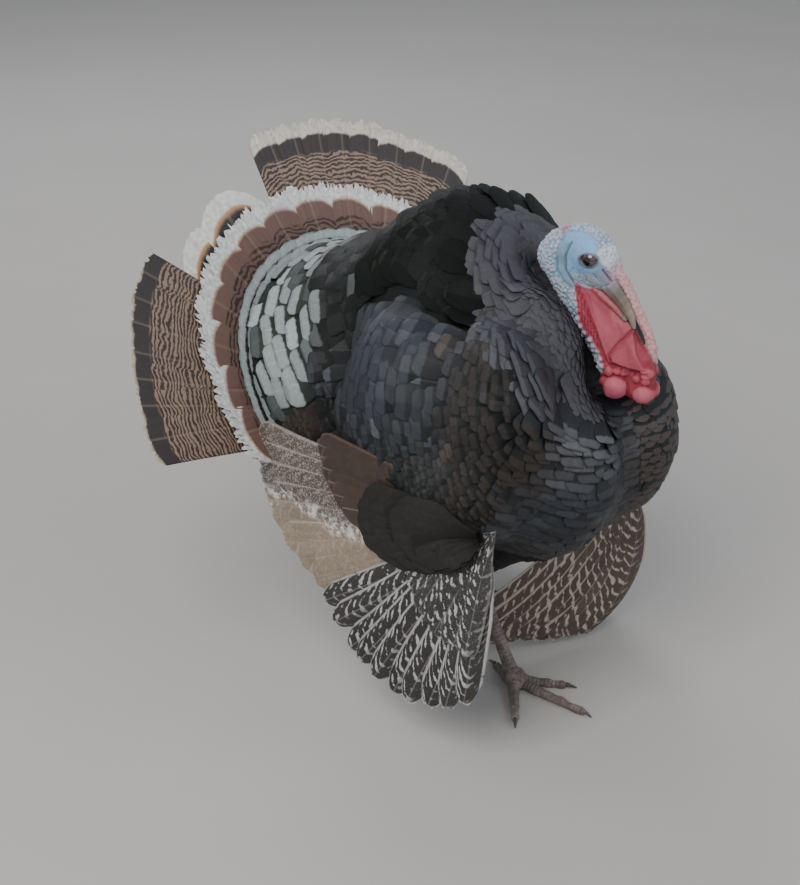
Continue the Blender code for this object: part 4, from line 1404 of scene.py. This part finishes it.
FOLD = ((-0.0165, 0.004), (-0.0156, -0.0013), (-0.0105, -0.0129), (-0.0016, -0.0235), (0.0105, -0.0263),
        (0.0181, -0.0270))
OUTER_FOLD = ((-0.0172, -0.0193), (-0.0078, -0.0300), (0.0069, -0.0329), (0.0185, -0.0313))
fold = line_distance(FOLD)
outer_fold = line_distance(OUTER_FOLD)
flank = ramp(np.abs(side_head), 0.004, 0.010)
red_edge = np.interp(along_head, (0.000, 0.017, 0.034, 0.049, 0.069, 0.0845, 0.115),
                     (0.030, 0.0116, 0.004, -0.0076, -0.0073, -0.0050, -0.0047))
red = ramp(above_axis - red_edge, -0.0012, 0.0012) * ramp(along_head, 0.006, 0.014)
red = np.maximum(red, ramp(along_head, 0.098, 0.103))
red = np.clip(red * soft["neck_bare"] + soft["wattle"] + soft["caruncles"], 0, 1)
snood = soft["snood"]
blue = inside(BLUE_PATCH, 0.002) * flank
warty = 1 - inside(SMOOTH_FACE, 0.0010) * flank
warty = warty * np.clip(soft["head"] + soft["neck_bare"] + soft["eye_right"] + soft["eye_left"], 0, 1)
warty = np.clip(warty * (1 - 2 * snood) * (1 - 2 * red), 0, 1) * ramp(along_head, 0.104, 0.100)
forehead = warty * ramp(along_head, 0.004, 0.012)
warty = warty * ramp(along_head - up_head * 0.3, 0.004, 0.0) + (1 - ramp(up_head, -0.030, -0.020)) * warty
warty = np.clip(warty, 0, 1)
CHEEK_PATCH = ((0.002, -0.008), (0.004, -0.019), (0.018, -0.029), (0.040, -0.020), (0.038, -0.004), (0.022, -0.002))
cheek = inside(CHEEK_PATCH, 0.003)
print("head marked out")

# %% [markdown]
# Warts are small domes.  They are set over the nape, the crown and the rear edge of the
# neck, each clear of the next, and every mesh point near one is lifted on to its dome.

# %% Warts
def domes(mask, spacing, radius, height, seed):
    """Lift for round warts over a mask, and how high on a wart each point is, 0 to 1."""
    rng = np.random.default_rng(seed)
    order = rng.permutation(np.nonzero(mask > 0.5)[0])
    taken = {}
    lift = np.zeros(len(head_points))
    top = np.zeros(len(head_points))
    chosen = []
    for index in order:
        key = tuple((head_points[index] // spacing).astype(int))
        near = [other for step in NEIGHBOURS for other in taken.get(tuple(np.add(key, step)), ())]
        if near and np.linalg.norm(head_points[near] - head_points[index], axis=1).min() < spacing:
            continue
        taken.setdefault(key, []).append(index)
        chosen.append(index)
    for index in chosen:
        size = radius * rng.uniform(0.7, 1.25)
        gap = np.linalg.norm(head_points - head_points[index], axis=1) / size
        close = gap < 1.0
        rise = np.sqrt(1 - gap[close] ** 2)
        lift[close] = np.maximum(lift[close], rise * height * size / radius)
        top[close] = np.maximum(top[close], rise)
    print(len(chosen), "warts")
    return lift, top


wart_lift, wart_top = domes(warty, 0.0038, 0.0025, 0.0015, 81)
brow_lift, brow_top = domes(forehead * (1 - warty), 0.0032, 0.0028, 0.0011, 84)
snood_lift, snood_top = domes(snood, 0.0042, 0.0030, 0.0010, 82)
edge_band = (ramp(red_edge + 0.0005 - above_axis, 0, 0.001) * ramp(above_axis - red_edge, -0.016, -0.014)
             * soft["neck_bare"] * ramp(along_head, 0.040, 0.046) * ramp(along_head, 0.104, 0.100))
warty = warty * (1 - edge_band)
pearl_lift, pearl_top = domes(edge_band, 0.0052, 0.0030, 0.0021, 83)

# %% [markdown]
# Now the larger forms: the fold from behind the eye to the corner of the bill, painted dark
# later as shade, the triangular fold of the wattle, the fine wrinkles of the red neck and
# the lumps of the lowest caruncles.

# %% Folds and wrinkles
WATTLE_REAR = ((0.0200, -0.0260), (0.0336, -0.0271), (0.0493, -0.0333), (0.0696, -0.0406), (0.0876, -0.0487),
               (0.1000, -0.0540))
FLAP = ((0.0924, -0.0199), (0.0936, -0.0344), (0.0966, -0.0494), (0.1019, -0.0519), (0.1167, -0.0480),
        (0.1320, -0.0348), (0.1121, -0.0300))
GAPE_FOLD = ((0.0162, -0.0276), (0.0271, -0.0231), (0.0401, -0.0233), (0.0592, -0.0229), (0.080, -0.020))
NOSTRIL = ((0.0262, 0.0092), (0.0375, 0.0045), (0.044, 0.001))
CREASES = (((0.0110, -0.0125), (0.0150, -0.0190)), ((0.0175, -0.0095), (0.0222, -0.0163)),
           ((0.0030, -0.0140), (0.0040, -0.0200)), ((0.0225, -0.0010), (0.0290, -0.0040)),
           ((0.0190, -0.0190), (0.0260, -0.0200)))
fine = lumps(0.0022, 1)
coarse = lumps(0.0060, 2)
rear_line = np.interp(along_head, *zip(*WATTLE_REAR))
sheet = red * ramp(up_head - rear_line, -0.001, 0.001) * ramp(0.104 - along_head, -0.003, 0.003)
wrinkled = red * (1 - ramp(up_head - rear_line, -0.003, -0.001)) * soft["neck_bare"]
side_wrinkle = np.sin((along_head * 0.85 + up_head * 0.9) / 0.0042 * 2 * math.pi + coarse * 2.2)
LOBES = ((0.1229, -0.0716, 0.0128, 0.0058), (0.1475, -0.0560, 0.0098, 0.0052), (0.1345, -0.0370, 0.0072, 0.0030),
         (0.1057, -0.0628, 0.0064, 0.0032), (0.1125, -0.0565, 0.0050, 0.0022), (0.1015, -0.0712, 0.0056, 0.0028),
         (0.1310, -0.0490, 0.0056, 0.0020), (0.1085, -0.0790, 0.0060, 0.0026), (0.1400, -0.0440, 0.0050, 0.0022),
         (0.1190, -0.0530, 0.0045, 0.0018))
low_lumps = red * ramp(along_head + 0.25 * up_head, 0.083, 0.089) * (1 - inside(FLAP, 0.001))
lobe_lift = np.zeros(len(head_points))
for ahead, up, radius, height in LOBES:
    gap = np.hypot(along_head - ahead, up_head - up) / radius
    lobe_lift = np.maximum(lobe_lift, height * np.sqrt(np.clip(1 - gap ** 2, 0, 1)))
lobe_lift *= low_lumps
wrinkled = wrinkled * (1 - low_lumps)
valley = low_lumps * (1 - ramp(lobe_lift, 0.0006, 0.0020))
move = wart_lift + brow_lift + snood_lift + pearl_lift
UNDER_WATTLE = beside_line(WATTLE_REAR, -0.002, -0.0035)
UNDER_FLAP = beside_line(FLAP[3:6], 0.0035, -0.0030)
BEHIND_FLAP = beside_line(FLAP[:4], -0.0022, 0.0)
for line, height, width, where in (
        (FOLD, -0.0014, 0.0010, flank), (beside_line(FOLD, -0.0022, -0.0016), 0.0010, 0.0016, flank),
        (OUTER_FOLD, -0.0009, 0.0010, flank), (WATTLE_REAR, 0.0019, 0.0013, flank * red),
        (UNDER_WATTLE, -0.0012, 0.0015, flank * red), (FLAP[:4], 0.0012, 0.0010, red),
        (UNDER_FLAP, -0.0020, 0.0022, red), (BEHIND_FLAP, -0.0014, 0.0014, red),
        (GAPE_FOLD, 0.0009, 0.0011, flank), (beside_line(GAPE_FOLD, 0.0, -0.0024), -0.0006, 0.0011, flank)):
    move += height * bell(line_distance(line), width) * where
move += wrinkled * (0.00070 * side_wrinkle + 0.0005 * fine)
move += inside(FLAP, 0.0009) * red * 0.0022
move += lobe_lift + low_lumps * (0.0004 * coarse + 0.00010 * fine) - 0.0012 * valley
nostril = bell(line_distance(NOSTRIL), 0.0010) * flank
move -= 0.0012 * nostril
crease = np.zeros(len(head_points))
for line in CREASES:
    crease = np.maximum(crease, bell(line_distance(line), 0.0007) * flank * (1 - red))
move -= 0.0007 * crease
move += cheek * 0.0004 * fine + blue * 0.00025 * lumps(0.0016, 8)
move += snood * 0.0006 * coarse
set_points(head.data, head_points + head_normals * move[:, None])

# %% [markdown]
# The eye sits in the skin, not on it.  Where the eyeball will be, the skin is set just
# behind the ball; round it a lid stands a little proud; outside the lid runs a groove.

# %% Eyelids
EYE_CENTRE = 0.0134
EYE_RADIUS = 0.0104
LID_LONG, LID_HIGH = 0.0094, 0.0066
points = points_of(head.data)
ahead, up, side = in_head(points)
da, du = ahead - EYE_AT[0], up - EYE_AT[1]
slope = math.radians(48)
ring = np.hypot((da * math.cos(slope) + du * math.sin(slope)) / LID_LONG,
                (du * math.cos(slope) - da * math.sin(slope)) / LID_HIGH)
ball = EYE_CENTRE + np.sqrt(np.maximum(EYE_RADIUS ** 2 - da ** 2 - du ** 2, 0.0))
cheek_wall = 0.0215 * np.sqrt(np.clip(1 - ((ahead - 0.003) / 0.037) ** 2 - ((up - 0.001) / 0.027) ** 2, 0.05, 1))
behind = ball - 0.0030
lid = np.maximum(ball + 0.0007, cheek_wall + 0.0006)
groove = cheek_wall - 0.0005
wall = behind + (lid - behind) * ramp(ring, 0.90, 1.00)
wall = wall + (groove - wall) * ramp(ring, 1.22, 1.45)
near_eye = (1 - ramp(ring, 1.7, 2.3)) * (np.abs(side) > 0.006)
target = np.abs(side) * (1 - near_eye) + wall * near_eye
points += np.outer(np.sign(side) * (target - np.abs(side)), np.array(RIGHT))
set_points(head.data, points)
lid_ring = bell(ring - 1.08, 0.16) * (np.abs(side) > 0.006)
print("lids formed")

# %% [markdown]
# Colour follows the same marks: powder blue, pearl white on the warts with greenish
# blue between them, coral red below, grey pink on the snood.  The darker red and grey in
# the wrinkles, folds, creases, nostril, grooves and valleys is painted shade.

# %% Head colours
POWDER = hue(0.21, 0.37, 0.55)
PEARL = hue(0.58, 0.58, 0.61)
TEAL = hue(0.14, 0.22, 0.29)
CORAL = hue(0.38, 0.058, 0.085)
ROSE = hue(0.335, 0.085, 0.112)
CREASE_SHADE = hue(0.20, 0.020, 0.036)
ASH = hue(0.48, 0.235, 0.225)
DARK = hue(0.045, 0.040, 0.060)


CHEEK = hue(0.33, 0.40, 0.46)
MAUVE = hue(0.42, 0.25, 0.33)
# colours in the order they are laid on, each with the share of it that every point takes
LAYERS = [
    (CHEEK, cheek),
    (POWDER, blue),
    (POWDER * hue(0.9, 1.0, 1.2), blue * ramp(up_head, 0.004, 0.018) * 0.6),
    (TEAL * 1.4, np.maximum(warty, forehead) * 0.9),
    (PEARL * hue(0.78, 0.75, 0.80), warty * wart_top ** 1.5),
    (PEARL * 0.95, forehead * brow_top ** 1.1),
    (MAUVE, ramp(along_head, 0.022, 0.034) * ramp(up_head, -0.006, 0.008) * (1 - red) * 0.65),
    (CORAL, red),
    (ROSE, red * np.maximum(sheet, inside(FLAP, 0.001)) * 0.55),
    # painted shade: darker red in the wrinkles' troughs, under the wattle's edge, and behind and under the flap
    (CREASE_SHADE, wrinkled * ramp(-side_wrinkle - fine, 0.1, 1.2) * 0.7),
    (CREASE_SHADE, red * bell(line_distance(UNDER_WATTLE), 0.0014) * 0.5),
    (CREASE_SHADE, red * bell(line_distance(BEHIND_FLAP), 0.0013) * 0.6),
    (CREASE_SHADE, red * bell(line_distance(UNDER_FLAP), 0.0020) * 0.6),
    (hue(0.44, 0.115, 0.155), low_lumps * ramp(lobe_lift, 0.0010, 0.0040) * 0.75),
    # painted shade in the valleys between the lowest lumps
    (CREASE_SHADE, valley * 0.7),
    (TEAL * 1.3, edge_band * 0.7),
    (PEARL * hue(1.05, 0.92, 0.95), pearl_top ** 1.3),
    (ASH, snood),
    (PEARL * hue(0.85, 0.68, 0.70), snood * snood_top * 0.4),
    (MAUVE, ramp(snood, 0.1, 0.5) * ramp(0.05 - along_head, 0, 0.02) * 0.5),
    # painted shade along the eye fold and the outer fold
    (DARK, bell(fold, 0.0008) * flank * 0.7 * (1 - red)),
    (TEAL * 0.5, bell(outer_fold, 0.0008) * flank * 0.6 * (1 - red)),
    (DARK, cheek * ramp(lumps(0.0013, 7), 0.15, 0.45) * 0.45),
    # painted shade in the creases
    (DARK, crease * 0.4),
    (CORAL * 0.9, bell(np.hypot(along_head + 0.036, up_head - 0.001), 0.006) * 0.85),
    # painted shade in the nostril
    (DARK, nostril * 0.8),
    (hue(0.115, 0.080, 0.100), lid_ring * 0.92),
]
paint = np.tile(TEAL * 1.35, (len(head_points), 1))
for colour, share in LAYERS:
    paint = blended(paint, colour, share)
add_attribute(head.data, "dye", paint)

flesh = Finish("head_flesh", Roughness=0.42)
flesh.shader.inputs["Subsurface Weight"].default_value = 0.12
flesh.shader.inputs["Subsurface Scale"].default_value = 0.004
flesh.shader.inputs["Specular IOR Level"].default_value = 0.3
spot = flesh.place()
pore = flesh.noise(spot, 900.0, 3.0)
mottle = flesh.noise(spot, 180.0, 3.0)
pebble = flesh.cells(spot, 620.0)
flesh.colour(flesh.shade(flesh.attribute("dye", "Color"), (mottle * 0.35 + 0.82) * (pore * 0.16 + 0.92)))
flesh.roughness(mottle * 0.25 + 0.42)
flesh.bump(pore * 0.5 + pebble * 0.6, 0.0004, 0.5)
head.data.materials.append(flesh.material)

# %% [markdown]
# ## Eyes and bill
# The eye is a polished ball: black pupil, dark brown iris.  Its pattern is read from
# the distance to the axis that runs through both eyes.

# %% Eyes
eyes = {}
for title, side_sign in (("eye_right_ball", 1), ("eye_left_ball", -1)):
    centre = SKULL + AHEAD * EYE_AT[0] + UPWARD * EYE_AT[1] + RIGHT * (EYE_CENTRE * side_sign)
    bm = bmesh.new()
    turn = RIGHT.to_track_quat("Z", "Y").to_matrix().to_4x4()
    bmesh.ops.create_uvsphere(bm, u_segments=32, v_segments=24, radius=EYE_RADIUS,
                              matrix=Matrix.Translation(centre) @ turn)
    eye = in_scene(title, mesh_from(bm, title))
    shade_smooth(eye.data)
    wet = Finish(title, Roughness=0.06)
    wet.shader.inputs["Coat Weight"].default_value = 1.0
    wet.shader.inputs["Coat Roughness"].default_value = 0.02
    spot = wet.from_centre(centre)
    run = wet.along_way(spot, RIGHT)
    full = wet.node("ShaderNodeVectorMath", {"operation": "LENGTH"}, [spot], output=1)
    radius = (full * full - run * run).greater(0.0) ** 0.5
    streaks = wet.noise(spot, 500.0)
    iris = wet.mix(streaks.rise(0.3, 0.8), (0.050, 0.028, 0.022), (0.095, 0.060, 0.048))
    rim = wet.mix(radius.rise(0.0078, 0.0090), iris, (0.012, 0.008, 0.008))
    wet.colour(wet.mix(radius.rise(0.0046, 0.0041), rim, (0.004, 0.003, 0.003)))
    eye.data.materials.append(wet.material)
    eyes[title] = eye

# %% [markdown]
# The bill's two halves are melted copies of their solids, covered in horn with faint
# growth lines, darker towards the tip and fleshy at its root.

# %% Bill
bills = {}
for title, solid in (("bill_top", "bill_upper"), ("bill_bottom", "bill_lower")):
    bill = melt(join_copies([solid], title), 0.0009, 5)
    horn = Finish(title + "_horn", Roughness=0.45)
    spot = horn.place()
    ahead_of = horn.along_way(horn.from_centre(SKULL), AHEAD)
    cloud = horn.noise(spot, 140.0, 4.0)
    rings = (ahead_of * 900.0 + cloud * 5.0).sine() * 0.5 + 0.5
    horn_hue = horn.mix(ahead_of.rise(0.055, 0.085), (0.150, 0.122, 0.105), (0.270, 0.225, 0.180))
    flesh_from, flesh_to = (0.056, 0.034) if solid == "bill_upper" else (0.078, 0.062)
    horn_hue = horn.mix((ahead_of + (cloud - 0.5) * 0.016).rise(flesh_from, flesh_to) * 0.92, horn_hue,
                        (0.310, 0.270, 0.320) if solid == "bill_upper" else (0.380, 0.085, 0.100))
    horn.colour(horn.shade(horn_hue, (cloud * 0.5 + 0.72) * (rings * 0.10 + 0.95)))
    horn.roughness(cloud * 0.3 + 0.32)
    horn.bump(cloud * 0.7 + rings * 0.3, 0.0004, 0.5)
    bill.data.materials.append(horn.material)
    bills[title] = bill
print("head finished")

# %% [markdown]
# ## Legs, feet and claws
# A turkey's shank is armoured: broad plates in rows down the front and over each toe,
# small scales elsewhere.  The plates are cut as shallow grooves across the leg, and the
# grooves and the borders of the small scales are painted darker as shade.

# %% Legs
FOOT_PAD = {"right": Vector((-0.035, -0.020, 0.0)) + SHIFT, "left": Vector((0.040, 0.172, 0.0)) + SHIFT}
SHANK_LEAN = {"right": math.radians(26), "left": math.radians(-8)}
TOE_LENGTH = {"mid": 0.092, "outer": 0.071, "inner": 0.057, "hind": 0.034}
TOE_TURN = {"mid": -4, "outer": 49, "inner": -34, "hind": 196}
SHANK_PLATE, TOE_PLATE = 0.0052, 0.0046
GROOVE = 0.0006


def plates(distance, spacing):
    """Raised plates with a narrow groove after each."""
    phase = np.abs((distance / spacing) % 1.0 - 0.5) * 2
    return 1.0 - ramp(phase, 0.72, 1.0)


legs = {}
for name, sign in (("right", -1), ("left", 1)):
    leg = melt(join_copies(["foot_" + name, "shank_" + name], "leg_skin_" + name), 0.0015, 3)
    points = points_of(leg.data)
    normals = normals_of(leg.data)
    rel = points - np.array(FOOT_PAD[name])
    lean = SHANK_LEAN[name]
    shank = np.array((sign * 0.006, math.sin(lean), math.cos(lean)))
    height = rel @ shank
    plate = plates(height, SHANK_PLATE) * ramp(points[:, 2], 0.016, 0.022)
    for toe, length in TOE_LENGTH.items():
        turn = math.radians(TOE_TURN[toe]) * sign
        ahead = np.array((math.sin(turn), -math.cos(turn), 0.0))
        out = rel @ ahead
        away = np.linalg.norm(rel[:, :2] - out[:, None] * ahead[:2], axis=1)
        mine = (out > 0.006) & (away < 0.010) & (points[:, 2] < 0.020)
        plate = np.where(mine, plates(out, TOE_PLATE), plate)
    front = ramp(-normals[:, 1], -0.5, 0.1) + ramp(normals[:, 2], 0.1, 0.5)
    lifted = points[:, 2:3] > 0.0012
    set_points(leg.data, points + normals * ((plate - 1.0) * GROOVE * np.clip(front, 0, 1))[:, None] * lifted)
    # the plate attribute also carries painted shade: the grooves are coloured darker below
    add_attribute(leg.data, "plate", 1 - (1 - plate) * np.clip(front, 0, 1))
    hide = Finish("leg_hide_" + name, Roughness=0.6)
    spot = hide.place()
    dust = hide.noise(spot, 60.0, 5.0)
    scale = hide.cells(spot, 520.0)
    tint = hide.mix(dust.rise(0.35, 0.65), (0.150, 0.110, 0.098), (0.250, 0.200, 0.175))
    # painted shade: darker in the grooves between plates and at the borders of the small scales
    hide.colour(hide.shade(tint, (hide.attribute("plate") * 0.5 + 0.5) * (scale * -0.5 + 1.12)))
    hide.bump(scale * -0.7 + dust * 0.3, 0.0006, 0.7)
    leg.data.materials.append(hide.material)
    legs["leg_skin_" + name] = leg

CLAW_NODES = [name for name in NODES if name.startswith(("claw_", "spur_"))]
claws = join_copies(CLAW_NODES, "claws")
rounded = claws.modifiers.new("rounded", "SUBSURF")
rounded.levels = rounded.render_levels = 2
shade_smooth(bake_modifiers(claws).data)
horn = Finish("claw_horn", Roughness=0.4)
grow = horn.noise(horn.place(), 300.0, 3.0)
horn.colour(horn.mix(grow, (0.030, 0.024, 0.021), (0.085, 0.068, 0.058)))
horn.bump(grow, 0.0003, 0.5)
claws.data.materials.append(horn.material)
print("legs done")

# %% [markdown]
# ## Pieces on the body
# Every piece rides on the one body of this still model, and the solids it stands for
# are hidden.

# %% Ride and replace
for title, coat in coats.items():
    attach(coat, "root")
QUILL_SLOTS = {
    "tail_right_quills": ("tail_plumage", ["tail_right"]), "tail_lone_quills": ("tail_plumage", ["tail_lone"]),
    "tail_top_quills": ("tail_plumage", ["tail_top"]), "tail_left_quills": ("tail_plumage", ["tail_left"]),
    "tail_covert_quills": ("chestnut_plumage", ["tail_coverts"]),
    "primaries_right_quills": ("barred_plumage", ["primaries_right"]), "primary_coverts_right": ("barred_plumage", []),
    "secondaries_right_quills": ("barred_plumage", ["secondaries_right"]),
    "greater_coverts_right": ("barred_plumage", []),
    "primaries_left_quills": ("barred_plumage", ["primaries_left"]),
    "secondaries_left_quills": ("barred_plumage", ["secondaries_left"]), "greater_coverts_left": ("barred_plumage", []),
    "flank_lobe": ("black_plumage", []), "rump_fringe": ("rump_plumage", []),
}
quill_pieces = {**tail_pieces, **wing_pieces, "tail_covert_quills": coverts, "rump_fringe": fringe}
for title, (slot, solids) in QUILL_SLOTS.items():
    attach(quill_pieces[title], "root")
    if solids:
        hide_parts(*solids)
OTHERS = {
    "head_skin": (head, "blue_skin", BARE), "eye_right_ball": (eyes["eye_right_ball"], "eye", ["eye_right"]),
    "eye_left_ball": (eyes["eye_left_ball"], "eye", ["eye_left"]),
    "bill_top": (bills["bill_top"], "bill_horn", ["bill_upper"]),
    "bill_bottom": (bills["bill_bottom"], "bill_horn", ["bill_lower"]),
    "leg_skin_right": (legs["leg_skin_right"], "leg_scale", ["foot_right", "shank_right"]),
    "leg_skin_left": (legs["leg_skin_left"], "leg_scale", ["foot_left", "shank_left"]),
    "claws": (claws, "claw", CLAW_NODES),
}
for title, (piece, slot, solids) in OTHERS.items():
    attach(piece, "root")
    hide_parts(*solids)
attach(skin, "root")
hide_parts(*FLESH)

# %% [markdown]
# ## Floor, light and camera
# A plain pale floor and broad soft lamps, as in a studio.  The camera looks down on the
# bird from its right side.

# %% Stage
bm = bmesh.new()
bmesh.ops.create_grid(bm, x_segments=1, y_segments=1, size=6.0)
floor = in_scene("floor", mesh_from(bm, "floor"))
paper = Finish("floor_paper", Roughness=0.9)
paper.colour(paper.mix(paper.noise(paper.place(), 3.0), (0.400, 0.375, 0.350), (0.440, 0.415, 0.390)))
floor.data.materials.append(paper.material)

world = bpy.data.worlds.new("studio")
bpy.context.scene.world = world
world.use_nodes = True
sky = world.node_tree.nodes["Background"]
sky.inputs["Color"].default_value = (0.80, 0.86, 0.95, 1)
sky.inputs["Strength"].default_value = 0.62


def lamp(title, place, target, size, power, colour):
    light = bpy.data.lights.new(title, "AREA")
    light.shape = "DISK"
    light.size = size
    light.energy = power
    light.color = colour
    made = in_scene(title, light)
    made.location = place
    made.rotation_euler = (Vector(target) - Vector(place)).to_track_quat("-Z", "Y").to_euler()


lamp("key", (-2.2, -0.6, 2.6), (0, 0, 0.3), 2.2, 92, (1.0, 0.97, 0.93))
lamp("fill", (0.8, -2.6, 1.6), (0, 0, 0.3), 2.0, 22, (0.92, 0.96, 1.0))
lamp("back", (1.2, 2.2, 2.2), (0, 0, 0.4), 1.6, 30, (0.95, 0.97, 1.0))

view = bpy.data.cameras.new("camera")
view.sensor_fit = "HORIZONTAL"
view.sensor_width = 36.0
view.lens = 72.0
view.clip_end = 50.0
camera = in_scene("camera", view)
camera.location = Vector((-1.2731, -0.9906, 1.12)) + SHIFT
camera.rotation_euler = (math.radians(90 - 27), 0, math.radians(-47))
bpy.context.scene.camera = camera
